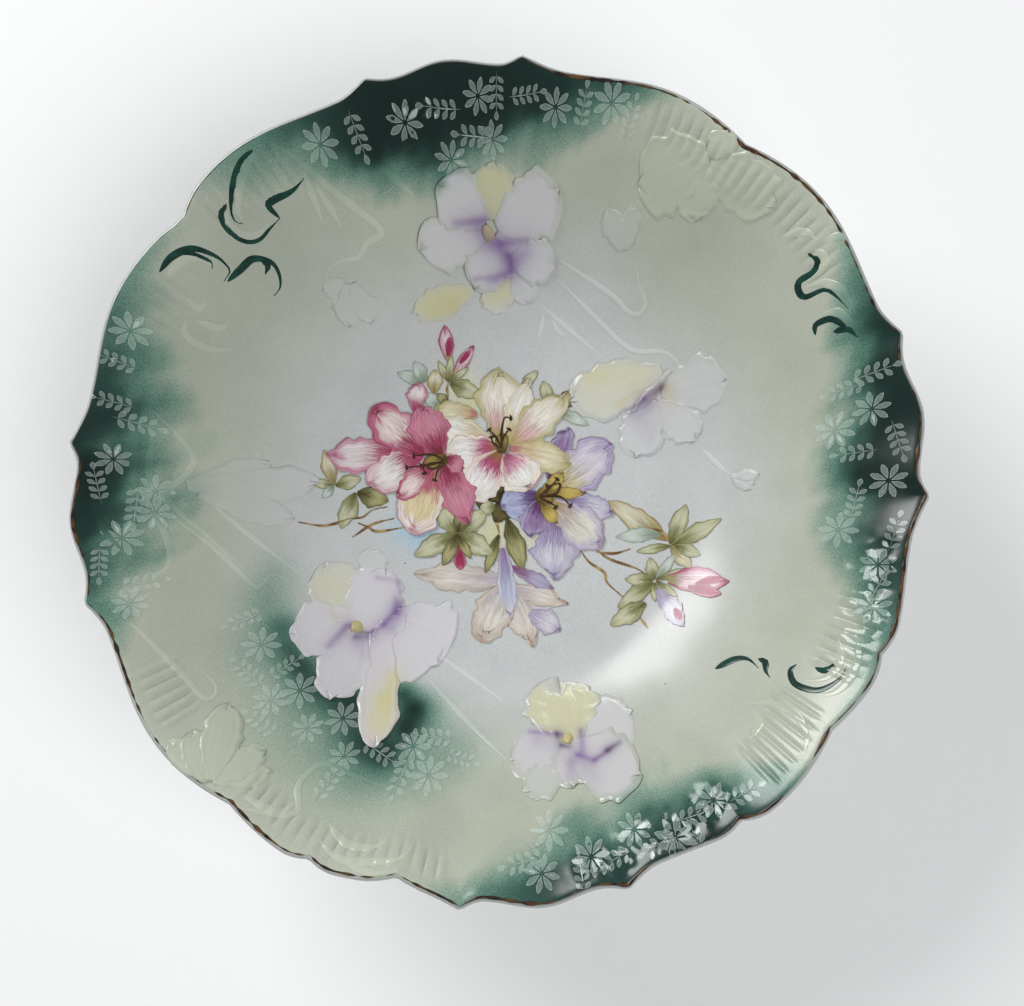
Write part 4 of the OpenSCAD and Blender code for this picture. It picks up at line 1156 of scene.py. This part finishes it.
# The printed bouquet.
gold = paint(172, 150, 84)
bouquet = {
    "step": 0.65,
    "film": {"lift": 0.10, "layer": 0.012},
    "all": {"throat": gold, "widest": 0.6, "neck": 0.24, "point": 0.18, "ruffle": 0.17, "waves": 3.0,
        "frill": 0.055, "veins": 8.0},
    "blush": {"throat": paint(150, 60, 88), "inner": paint(170, 88, 114), "middle": paint(228, 218, 218),
        "rim": paint(198, 134, 158), "vein": paint(146, 52, 86)},
    "blushPale": {"throat": paint(150, 60, 88), "inner": paint(168, 84, 110),
        "middle": paint(228, 224, 220), "rim": paint(216, 190, 196), "vein": paint(152, 56, 88)},
    "rose": {"throat": paint(136, 46, 70), "inner": paint(158, 70, 96), "middle": paint(230, 212, 208),
        "rim": paint(184, 100, 128), "vein": paint(134, 40, 70)},
    "deepRose": {"throat": paint(110, 50, 50), "inner": paint(150, 60, 86), "middle": paint(196, 132, 150),
        "rim": paint(196, 122, 146), "vein": paint(118, 34, 58)},
    "peach": {"inner": paint(170, 84, 106), "middle": paint(224, 208, 168), "rim": paint(226, 218, 214),
        "vein": paint(158, 66, 94)},
    "ivory": {"throat": paint(190, 176, 130), "inner": paint(206, 192, 160), "middle": paint(230, 226, 218),
        "rim": paint(214, 208, 186), "vein": paint(168, 150, 110)},
    "ivoryRose": {"throat": paint(140, 110, 58), "inner": paint(172, 76, 112),
        "middle": paint(230, 226, 224), "rim": paint(228, 222, 208), "vein": paint(164, 66, 104)},
    "ivoryTop": {"throat": paint(176, 156, 92), "inner": paint(214, 176, 176),
        "middle": paint(230, 224, 212), "rim": paint(184, 180, 136), "vein": paint(158, 142, 100)},
    "ivoryShade": {"throat": paint(180, 110, 120), "inner": paint(208, 186, 150),
        "middle": paint(218, 210, 180), "rim": paint(190, 180, 134), "vein": paint(150, 136, 86)},
    "ivoryTuft": {"throat": paint(150, 80, 100), "inner": paint(200, 140, 160),
        "middle": paint(230, 227, 222), "rim": paint(228, 222, 206), "vein": paint(172, 96, 122)},
    "violetDeep": {"throat": paint(88, 52, 76), "inner": paint(98, 60, 100), "middle": paint(142, 118, 156),
        "rim": paint(172, 164, 192), "vein": paint(80, 42, 84)},
    "violet": {"throat": paint(130, 116, 138), "inner": paint(156, 144, 176),
        "middle": paint(200, 196, 208), "rim": paint(174, 166, 194), "vein": paint(112, 92, 138)},
    "violetLight": {"inner": paint(200, 192, 144), "middle": paint(206, 200, 210),
        "rim": paint(172, 164, 192), "vein": paint(128, 82, 124)},
    "violetPale": {"inner": paint(192, 178, 172), "middle": paint(214, 212, 200),
        "rim": paint(184, 176, 196), "vein": paint(138, 116, 130)},
    "blue": {"throat": paint(84, 48, 80), "inner": paint(100, 76, 122), "middle": paint(166, 168, 200),
        "rim": paint(178, 186, 212), "vein": paint(84, 72, 124)},
    "gold": {"throat": paint(96, 76, 34), "inner": paint(150, 126, 58), "middle": paint(192, 172, 96),
        "rim": paint(164, 142, 80), "vein": paint(84, 64, 28)},
    "heart": {"throat": paint(80, 62, 34), "inner": paint(112, 92, 46), "middle": paint(150, 130, 70),
        "rim": paint(120, 100, 54), "vein": paint(60, 44, 22),
              "neck": 0.6, "ruffle": 0.05, "frill": 0.0},
    "beige": {"throat": paint(186, 180, 196), "inner": paint(198, 190, 192), "middle": paint(212, 206, 198),
        "rim": paint(202, 188, 176), "vein": paint(162, 140, 124), "frill": 0.09},
    "tube": {"throat": paint(140, 112, 152), "inner": paint(158, 146, 178), "middle": paint(182, 186, 206),
        "rim": paint(206, 204, 206), "vein": paint(124, 108, 152)},
    "mauve": {"throat": paint(176, 170, 194), "inner": paint(186, 180, 200), "middle": paint(204, 202, 210),
        "rim": paint(182, 172, 190), "vein": paint(136, 118, 148)},
    "mauveDeep": {"throat": paint(132, 80, 120), "inner": paint(146, 104, 138),
        "middle": paint(172, 166, 194), "rim": paint(158, 148, 176), "vein": paint(112, 76, 110)},
    "leafShape": {"point": 0.75, "widest": 0.5, "neck": 0.12, "ruffle": 0.13, "waves": 2.6, "frill": 0.0,
        "veins": 1.0},
    "leaf": {"throat": paint(100, 98, 58), "inner": paint(136, 138, 94), "middle": paint(194, 194, 164),
        "rim": paint(164, 166, 126), "vein": paint(94, 88, 50)},
    "olive": {"throat": paint(70, 66, 36), "inner": paint(96, 92, 56), "middle": paint(166, 162, 116),
        "rim": paint(124, 122, 78), "vein": paint(60, 54, 28)},
    "core": {"throat": paint(44, 38, 20), "inner": paint(56, 50, 26), "middle": paint(96, 88, 50),
        "rim": paint(60, 54, 28), "vein": paint(36, 30, 16)},
    "greyLeaf": {"throat": paint(130, 140, 118), "inner": paint(150, 162, 146),
        "middle": paint(196, 204, 196), "rim": paint(166, 180, 168), "vein": paint(124, 134, 112)},
    "creamLeaf": {"throat": paint(140, 124, 80), "inner": paint(168, 158, 112),
        "middle": paint(210, 206, 182), "rim": paint(180, 160, 120), "vein": paint(126, 104, 70)},
    "bud": {"throat": paint(160, 160, 110), "inner": paint(206, 180, 182), "middle": paint(218, 196, 204),
        "rim": paint(172, 86, 116), "vein": paint(150, 54, 90),
            "point": 0.6, "neck": 0.3, "ruffle": 0.07, "frill": 0.05, "veins": 4.0},
    "crimson": {"throat": paint(150, 60, 90), "inner": paint(150, 52, 82), "middle": paint(158, 56, 88),
        "rim": paint(192, 120, 144), "vein": paint(106, 22, 50),
                "point": 0.6, "neck": 0.35, "ruffle": 0.05, "frill": 0.0, "veins": 3.0},
}
for kind in ("leaf", "olive", "core", "greyLeaf", "creamLeaf"):
    bouquet[kind] = dict(bouquet["leafShape"], **bouquet[kind])
bouquetSpots = {
    "leaves": ("print_leaves", "print_leaf", 0, [
        (-58.5, 2.5, -62, 15, 5, "creamLeaf"), (-58, 2.5, -49, 5, 5, "leaf"),
        (-58.5, 2.5, -66, 3.5, 3.5, "leaf"),
        (-58.5, 2.5, -62.5, -2, 3, "greyLeaf"), (-50.5, 0, -39.5, -3, 7.5, "olive"),
        (-51, 0, -56, -12.5, 6.5, "leaf"),
        (-18.5, 38, -7.5, 33.5, 6.5, "leaf"), (-27.5, 38.5, -37, 42, 4.5, "greyLeaf"),
        (-27, 38.5, -31, 46, 5, "greyLeaf"),
        (-24, 34.5, -23.5, 43, 5.5, "creamLeaf"), (-22, 29.5, -27, 34.5, 5, "greyLeaf"),
        (-19, 30.5, -23, 34.5, 3.5, "olive"),
        (6.5, 36.5, 12, 42, 3.5, "leaf"), (18.5, 28, 26, 36, 5, "olive"),
        (18.5, 28, 29.5, 23, 4, "greyLeaf"), (16, 30, 14, 38.5, 4.5, "leaf"),
        (2.5, -1, -7, -0.5, 6, "core"), (1, 6, -4.5, -1, 6.5, "core"), (2.5, -3, -3, -10.5, 7, "core"),
        (1, 1.5, 3, -9, 7, "core"),
        (-6, 4, -8, -6, 6, "core"), (1.5, -9.5, 7, -27, 6.5, "olive"), (-1.5, -15, -6, -28, 3.6, "olive"),
        (-15.5, -14.5, -5.5, -6, 6.5, "leaf"),
        (-15.5, -14.5, -22, -5, 7, "leaf"), (-15.5, -14, -13.5, -6, 5.5, "olive"),
        (-15.5, -14.5, -3.5, -21.5, 7, "leaf"),
        (-15.5, -14.5, -30.5, -22, 7, "leaf"), (-15.5, -14.5, -20.5, -25.5, 4.5, "olive"),
        (-15.5, -15, -11, -23, 3.2, "olive"),
        (-2.5, -5.5, -8, -5.5, 5, "leaf"),
    ]),
    "hangingBloom": ("print_hanging_bloom", "print_cream", 14, [
        (2.5, -33, 9, -51, 10, "beige"), (0, -30.5, -27, -28.5, 10, "beige"),
        (9, -41.5, 19, -47, 8, "mauve"),
        (2.5, -33, 20, -37.5, 6.5, "beige"), (0.5, -32, -7, -50, 12.5, "beige"),
        (3, -26, 16.5, -33, 4.5, "mauveDeep"),
        (0, -19.5, 2.5, -42.5, 6, "tube"),
    ]),
    "violetBloom": ("print_violet_bloom", "print_violet", 24, [
        (16, 4, 22, 21, 8, "violetDeep"), (18, -10, 17.5, -29, 15, "violet"),
        (17, 0, 36.5, 15.5, 16, "violetLight"),
        (22, -3.5, 37, -7.5, 9, "violet"), (12.5, -2, 0, -5, 14, "blue"),
        (13.5, -3, 10, -15, 11, "violetDeep"),
        (17, -4, 33, -18, 13, "violetPale"), (11.5, -3.5, 17, 0, 6, "heart"),
        (13.5, -2, 20.5, 6, 5, "gold"), (14.5, -1, 27.5, -0.5, 4, "gold"), (13.5, -4, 18, -11, 4.5, "gold"),
    ]),
    "whiteBloom": ("print_white_bloom", "print_white", 36, [
        (-9, 27, -23, 28.5, 7, "ivoryShade"), (-2, 16, -27.5, 24, 11.5, "ivory"),
        (-0.5, 18, -1.5, 42, 15.5, "ivoryTop"),
        (1, 17, 9, 37.5, 9, "ivory"), (2.5, 16, 21, 33, 12, "ivoryTop"),
        (2.5, 15, 22, 10, 10.5, "ivoryShade"),
        (-1.5, 15, -19, 13, 12.5, "ivoryRose"), (-1, 13.5, -11, -2, 14.5, "ivoryRose"),
        (1, 12.5, 9.5, 1.5, 14.5, "ivoryTuft"),
        (-0.5, 13.2, -0.2, 20.5, 4.4, "heart"),
    ]),
    "pinkBloom": ("print_pink_bloom", "print_pink", 46, [
        (-30.5, 28, -29.5, 38, 6.5, "blush"), (-35, 13, -59.5, 13, 12.5, "blush"),
        (-28, 13, -45.5, 3, 13, "blushPale"),
        (-27, 13, -44.5, 28.5, 14, "rose"), (-21.5, 12, -28.5, 29.5, 13, "deepRose"),
        (-23.5, 10, -31, -13, 15.5, "peach"),
        (-24, 9.5, -36, -1.5, 8, "rose"), (-20.5, 11, -12, -9.5, 11.5, "deepRose"),
        (-19.5, 12, -14, 8, 6, "deepRose"),
        (-19.3, 11.5, -27.5, 9.5, 5, "heart"),
    ]),
    "rightSprig": ("print_right_sprig", "print_leaf", 0, [
        (56, -17, 36, -3.5, 8, "creamLeaf"), (54.5, -14.5, 38.5, -16, 5, "greyLeaf"),
        (57, -18.5, 62.5, -5, 6, "leaf"),
        (57.5, -19, 74, -10.5, 5.5, "leaf"), (57, -19, 64, -27, 5, "creamLeaf"),
        (58.5, -19, 67, -22.5, 4.5, "leaf"),
        (57, -19, 45.5, -21, 3, "leaf"), (51.5, -30.5, 50, -23, 4.5, "leaf"),
        (52, -30.5, 58.5, -22, 3.2, "greyLeaf"),
        (52, -30.5, 63.5, -27, 2.6, "leaf"), (51, -30.5, 41.5, -30.5, 4.5, "leaf"),
        (51, -31.5, 39, -40, 5.5, "leaf"),
        (48.5, -38.5, 36.5, -46, 6.5, "leaf"), (51.5, -31.5, 51.5, -38, 2.6, "leaf"),
        (52, -31, 59, -36.5, 2.6, "leaf"),
    ]),
    "buds": ("print_pink_buds", "print_pink", 16, [
        (-19, 46, -20.5, 58, 5, "bud"), (-19.2, 47.5, -18.5, 54.5, 2.5, "crimson"),
        (-17, 40.5, -10.5, 51, 4, "bud"),
        (-15, 45, -11.5, 49.5, 2, "crimson"), (-19, 38.5, -22.5, 46, 2.5, "leaf"),
        (-19, 38.5, -18, 48, 2.5, "leaf"),
        (-18.5, 38.5, -12, 43.5, 2.2, "leaf"), (-15.5, -15.5, -16.5, -22, 4, "crimson"),
        (-15, -20, -14.5, -27, 4, "crimson"),
        (56, -30.5, 74.5, -31.5, 9, "bud"), (62.5, -33.5, 73, -36, 4, "crimson"),
        (65, -32.5, 73, -30.5, 2.6, "crimson"),
        (52.5, -34, 60.5, -45.5, 6.5, "mauve"), (58, -40.5, 60, -44.5, 2.6, "crimson"),
    ]),
}
petalPrint = petalGlaze("petalPrint", 0.8, 0.75)
for label, (node, slot, level, petals) in bouquetSpots.items():
    film = {"lift": bouquet["film"]["lift"] + level * bouquet["film"]["layer"],
        "layer": bouquet["film"]["layer"]}
    layPetals(label, node, petals, bouquet, bouquet["step"], petalPrint, film)

stamens = {
    "outline": {"Width": 0.0008, "Height": 0.00008, "Roundness": 0.6, "Sink": 0.00006, "Sides": 8},
    "thread": {"Width": 0.0004, "Height": 0.00011, "Roundness": 0.6, "Sink": 0.00006, "Sides": 8},
    "tip": {"Width": 0.0011, "Height": 0.00012, "Roundness": 0.6, "Sink": 0.00006, "Sides": 8},
    "dark": paint(52, 34, 20),
    "gold": paint(206, 176, 84),
    "routes": [
        [(-20.5, 11), (-24.5, 13), (-31, 12.5)], [(-20.5, 11), (-24.5, 9.5), (-33.5, 8.5)],
        [(-20.5, 10.5), (-24, 8), (-27.5, 9.5), (-27, 6.5)], [(-20, 10), (-22.5, 7.5), (-23.5, 4)],
        [(-20, 10), (-24.5, 10), (-28.5, 9)], [(-0.5, 15), (-0.5, 20.5), (0.5, 25.5), (2.5, 25.5)],
        [(-0.5, 15), (-2.5, 19), (-5, 21.5)], [(-0.5, 15), (0, 18.5), (2, 21.5)],
        [(-1, 15), (-3.5, 17), (-4, 19)],
        [(12.5, -2), (18, -1), (19.5, 2.5), (15, 1.5)], [(12.5, -2), (19.5, -2), (23, -5)],
        [(13, -2.5), (17, -4.5), (18, -5.5)], [(12.5, -1.5), (16, 1), (18.5, 4)],
    ],
}


def makeStamens():
    tips = []
    for route in stamens["routes"]:
        (px, py), (ex, ey) = route[-2:]
        d = np.array([py - ey, ex - px]) / math.hypot(ex - px, ey - py)
        tips.append([(ex - d[0], ey - d[1]), (ex + 0.3, ey), (ex + d[0], ey + d[1])])
    level = bouquet["film"]["lift"] + 56 * bouquet["film"]["layer"]
    dark = lineGlaze("stamenInk", stamens["dark"], stamens["dark"] * 1.6)
    bright = lineGlaze("stamenGold", stamens["gold"], stamens["gold"] * 0.7)
    return [
        drawLines("outlines", stamens["routes"], dark, stamens["outline"], step=0.5, lift=level, tail=0.6),
        drawLines("threads", stamens["routes"], bright, stamens["thread"], step=0.5, lift=level, tail=0.6),
        drawLines("anthers", tips, dark, stamens["tip"], step=0.4, lift=level, tail=0.4),
    ]


stamenLines = makeStamens()
pieceOfStamens = joinInto("stamens", stamenLines)
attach(pieceOfStamens, "root")

twigs = {
    "size": {"Width": 0.0010, "Height": 0.00010, "Roundness": 0.6, "Sink": 0.00008, "Sides": 8},
    "colour": paint(176, 150, 100),
    "second": paint(110, 80, 46),
    "routes": [
        [(-70, -10.5), (-63, -11.5), (-59, -11), (-53, -9), (-48.5, -8.5), (-45, -6), (-40, -5)],
        [(-50, -10.5), (-46.5, -12), (-43, -13.5), (-33.5, -12)], [(-52, -15.5), (-45, -11), (-37.5, -9)],
        [(26.5, -20.5), (29.5, -24.5), (34.5, -28), (35.5, -31.5), (41, -36.5)],
        [(31.5, -20), (36.5, -23.5), (45, -26.5), (50, -29.5)], [(32, -21), (38, -21.5), (43.5, -20)],
        [(46.5, -43.5), (49, -47)], [(-19, 33), (-19.5, 36), (-19, 38.5)],
        [(-3.5, -7), (-2, -11.5), (-1, -16)],
        [(-7, -0.5), (-2, 1), (2.5, -1.5)], [(57, -18.5), (54.5, -14.5), (48.5, -12.5)],
    ],
}
twigInk = lineGlaze("twigInk", twigs["colour"], twigs["second"])
line = drawLines("twigs", twigs["routes"], twigInk, twigs["size"], step=0.6, lift=0.1, tail=0.45)
finishPiece(line, "print_twigs")
print("bouquet made")

# Stencilled daisies and leaf sprays.
stencil = {
    "lift": 0.07,
    "thickness": 0.05,
    "petals": 8,
    "daisy": 5.6,
    "spray": 7.0,
    "seed": 21,
    "pale": paint(200, 216, 208),
    "stencil_top": (
        [(-56, 107), (-29, 115), (-5, 122), (-15, 106), (-1, 111), (20, 118), (38, 118)],
        [(-44, 110), (-18, 119), (11, 122), (29, 118), (1, 122), (44, 114), (-7, 112)],
    ),
    "stencil_right": (
        [(118, 19), (108, 14), (122, -4), (108, -18), (118, -30), (116, -43)],
        [(110, 26), (119, 30), (113, 6), (125, 8), (113, -9), (123, -20), (117, -38)],
    ),
    "stencil_left": (
        [(-121, 5), (-116, 46), (-110, -4), (-118, -20), (-114, -41), (-110, -11)],
        [(-121, 23), (-114, 17), (-125, -3), (-115, -10), (-123, -29), (-111, -34), (-120, 36)],
    ),
    "stencil_bottom": (
        [(43, -110), (67, -101), (17, -111), (15, -123), (30, -118), (55, -112)],
        [(27, -122), (50, -114), (76, -99), (36, -119), (60, -106), (9, -120), (62, -113)],
    ),
    "stencil_lower_left": (
        [(-78, -53), (-65, -68), (-51, -77), (-73, -71), (-49, -89), (-28, -86), (-22, -95), (-61, -80)],
        [(-38, -88), (-22, -83), (-81, -62), (-75, -78), (-70, -60), (-52, -96), (-31, -96), (-12, -90),
            (-84, -45)],
    ),
}


def leafPrism(points, faces, edges, base, tip, width):
    base, tip = np.array(base, float), np.array(tip, float)
    d = tip - base
    side = np.array([-d[1], d[0]]) / np.linalg.norm(d) * width / 2
    outline = [base, base + d * 0.35 - side * 0.75, base + d * 0.62 - side, base + d * 0.88 - side * 0.55,
        tip,
               base + d * 0.88 + side * 0.55, base + d * 0.62 + side, base + d * 0.35 + side * 0.75]
    centre = base + d * 0.56
    start, n = len(points), len(outline)
    for z, shrink, mark in ((1, 1, 1), (1, 0.76, 0), (0, 1, 1)):
        for p in outline:
            q = centre + (p - centre) * shrink
            points.append((q[0], q[1], z))
            edges.append(mark)
    for i in range(n):
        j = (i + 1) % n
        faces.append((start + i, start + j, start + n + j, start + n + i))
        faces.append((start + 2 * n + i, start + 2 * n + j, start + j, start + i))
    faces.append(tuple(start + n + i for i in range(n)))
    faces.append(tuple(start + 2 * n + i for i in reversed(range(n))))


def stencilShape(name, leaves):
    points, faces, edges = [], [], []
    for leaf in leaves:
        leafPrism(points, faces, edges, *leaf)
    flat = np.array(points) * 0.001
    flat[:, 2] = np.array(points)[:, 2] * stencil["thickness"] * 0.001
    mesh = newMesh(name, flat, faces, None, {"border": edges})
    obj = newObject(name, mesh)
    obj.hide_render = True
    obj.hide_viewport = True
    return obj


def scatterTree():
    tree, given, out = newTree("scatterStencil", [
        ("Shape", "Object", None), ("Size", "Float", 1.0), ("Unevenness", "Float", 0.12), ("Seed", "Int", 1),
        ("Bowl", "Object", None), ("Material", "Material", None),
    ])
    shape = add(tree, "GeometryNodeObjectInfo", {"Object": given["Shape"]}).outputs["Geometry"]
    lowest = doMath(tree, "SUBTRACT", 1.0, given["Unevenness"])
    highest = doMath(tree, "ADD", 1.0, given["Unevenness"])
    grow = add(tree, "FunctionNodeRandomValue", {2: lowest, 3: highest, "Seed": given["Seed"]},
        data_type="FLOAT").outputs[1]
    size = doMath(tree, "MULTIPLY", grow, given["Size"])
    turn = add(tree, "ShaderNodeCombineXYZ", {2: named(tree, "turn")}).outputs[0]
    turn = add(tree, "FunctionNodeEulerToRotation", {0: turn}).outputs[0]
    grown = add(tree, "ShaderNodeCombineXYZ", {0: size, 1: size, 2: 1.0}).outputs[0]
    put = add(tree, "GeometryNodeInstanceOnPoints", {
        "Points": given["Geometry"], "Instance": shape, "Rotation": turn, "Scale": grown,
    }).outputs[0]
    put = add(tree, "GeometryNodeRealizeInstances", {0: put}).outputs[0]
    put = drape(tree, put, given["Bowl"])
    put = add(tree, "GeometryNodeSetMaterial", {"Geometry": put, "Material": given["Material"]}).outputs[0]
    tree.links.new(put, out[0])
    return tree


def stencilGlaze():
    mat, tree, shader = newMaterial("stencilGlaze")
    fine = ramp(tree, noise(tree, 900, 2), 0.3, 0.7, 0.9, 1.1)
    grey = add(tree, "ShaderNodeCombineXYZ", {0: fine, 1: fine, 2: fine}).outputs[0]
    colour = blend(tree, attribute(tree, "ground"), attribute(tree, "outlineTint"),
        ramp(tree, attribute(tree, "border", "Fac"), 0.35, 0.9))
    tree.links.new(blend(tree, colour, grey, 1.0, "MULTIPLY"), shader.inputs["Base Color"])
    glazeSurface(tree, shader)
    return mat


def makeStencils():
    scattering = scatterTree()
    material = stencilGlaze()
    n = stencil["petals"]
    ways = [2 * math.pi * k / n for k in range(n)]
    daisy = stencilShape("daisyShape", [
        ((0.7 * math.cos(w), 0.7 * math.sin(w)), (stencil["daisy"] * math.cos(w),
            stencil["daisy"] * math.sin(w)), 1.9) for w in ways
    ])
    s = stencil["spray"]
    spray = stencilShape("sprayShape", [((0.62 * s, 0), (s, 0), 1.7)] + [
        ((x * s, side * 0.2), (x * s + 1.6, side * 2.5), 1.5) for x in (-0.75, -0.4, -0.05,
            0.3) for side in (-1, 1)
    ] + [((-s, 0), (0.66 * s, 0), 0.35)])
    for k, node in enumerate(["stencil_top", "stencil_right", "stencil_left", "stencil_bottom",
        "stencil_lower_left"]):
        made = []
        for j, (shape, places) in enumerate(zip((daisy, spray), stencil[node])):
            rng = np.random.default_rng(stencil["seed"] + 10 * k + j)
            spots = np.array(places, float)
            flat = np.c_[spots, np.full(len(spots), stencil["lift"] + 0.02 * j)] * 0.001
            flat[:, :2] = flat[:, :2] * spread + middle[:2]
            turns = rng.uniform(0, 6.28, len(spots)) if j == 0 else np.arctan2(spots[:, 1],
                spots[:, 0]) + rng.choice([0, 1.4, -1.4, 3.1], len(spots))
            mesh = newMesh(node + "Spots" + str(j), flat, [], None, {"turn": turns})
            obj = newObject(node + "Part" + str(j), mesh)
            runTree(obj, scattering, {
                "Shape": shape, "Size": 1.0, "Unevenness": 0.12, "Seed": stencil["seed"] + k, "Bowl": body,
                "Material": material,
            })
            made.append(obj)
        obj = joinInto(node + "_print", made)
        under = groundOf(obj.data)
        writeColour(obj.data, "ground", mix(under, stencil["pale"], 0.26))
        writeColour(obj.data, "outlineTint", mix(under, stencil["pale"], 0.72))
        obj.data.set_sharp_from_angle(angle=0.8)
        finishPiece(obj, node)
    for shape in (daisy, spray):
        bpy.data.objects.remove(shape)


makeStencils()
print("stencils made")

# The foot ring keeps its CAD shape.
def footGlaze():
    mat, tree, shader = newMaterial("footGlaze")
    where = add(tree, "ShaderNodeTexCoord").outputs["Object"]
    z = add(tree, "ShaderNodeSeparateXYZ", {0: where}).outputs[2]
    z = doMath(tree, "ADD", z, doMath(tree, "MULTIPLY", noise(tree, 300, 2), 0.0003))
    bare = ramp(tree, z, float(middle[2]) + 0.0004, float(middle[2]) + 0.0008, 1.0, 0.0)
    dust = ramp(tree, noise(tree, 700, 4), 0.3, 0.7, 0.86, 1.08)
    grey = add(tree, "ShaderNodeCombineXYZ", {0: dust, 1: dust, 2: dust}).outputs[0]
    clay = blend(tree, tuple(paint(186, 176, 158)), grey, 1.0, "MULTIPLY")
    tree.links.new(blend(tree, tuple(ground["outside"]), clay, bare), shader.inputs["Base Color"])
    tree.links.new(ramp(tree, bare, 0, 1, 0.14, 0.8), shader.inputs["Roughness"])
    return mat


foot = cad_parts["foot_ring"]
foot.data.materials.clear()
foot.data.materials.append(footGlaze())

# Light, floor and camera.
studio = {
    "camera": (34.9, -70.3, 548.7),
    "target": (6.35, -10.8, 65.0),
    "lens": 55.8,
    "key": 35.0,
    "fill": 30.0,
    "sky": 0.24,
    "floor": paint(243, 244, 245),
}


def addLamp(name, place, target, size, power, shines=True):
    data = bpy.data.lights.new(name, "AREA")
    data.shape = "ELLIPSE"
    data.size, data.size_y = size
    data.energy = power
    lamp = bpy.data.objects.new(name, data)
    bpy.context.scene.collection.objects.link(lamp)
    lamp.visible_glossy = shines
    lamp.location = place
    lamp.rotation_euler = (Vector(target) - Vector(place)).to_track_quat("-Z", "Y").to_euler()


def makeStudio():
    scene = bpy.context.scene
    size = 3.0
    mesh = bpy.data.meshes.new("floor")
    z = float(middle[2])
    mesh.from_pydata([(-size, -size, z), (size, -size, z), (size, size, z), (-size, size, z)], [],
        [(0, 1, 2, 3)])
    floor = newObject("floor", mesh)
    mat, tree, shader = newMaterial("floorPaper")
    shader.inputs["Base Color"].default_value = (*studio["floor"], 1)
    shader.inputs["Roughness"].default_value = 0.9
    floor.data.materials.append(mat)
    world = bpy.data.worlds.new("studio")
    world.use_nodes = True
    world.node_tree.nodes["Background"].inputs[0].default_value = (0.93, 0.96, 1.0, 1)
    world.node_tree.nodes["Background"].inputs[1].default_value = studio["sky"]
    scene.world = world
    addLamp("key", (-1.25, 1.25, 1.03), (0, 0, 0.03), (1.4, 1.15), studio["key"])
    addLamp("fill", (1.1, -0.9, 1.7), (0, 0, 0.03), (1.8, 1.8), studio["fill"], shines=False)
    scene.view_settings.view_transform = "Standard"
    camera = bpy.data.objects.new("camera", bpy.data.cameras.new("camera"))
    scene.collection.objects.link(camera)
    camera.data.sensor_width = 36
    camera.data.lens = studio["lens"]
    place = toFrame([studio["camera"]])[0]
    aim = toFrame([studio["target"]])[0]
    back = Vector(place - aim).normalized()
    right = Vector((0, 1, 0)).cross(back).normalized()
    up = back.cross(right)
    camera.matrix_world = Matrix((
        (right.x, up.x, back.x, place[0]), (right.y, up.y, back.y, place[1]),
        (right.z, up.z, back.z, place[2]), (0, 0, 0, 1),
    ))
    scene.camera = camera


makeStudio()
print("studio made")
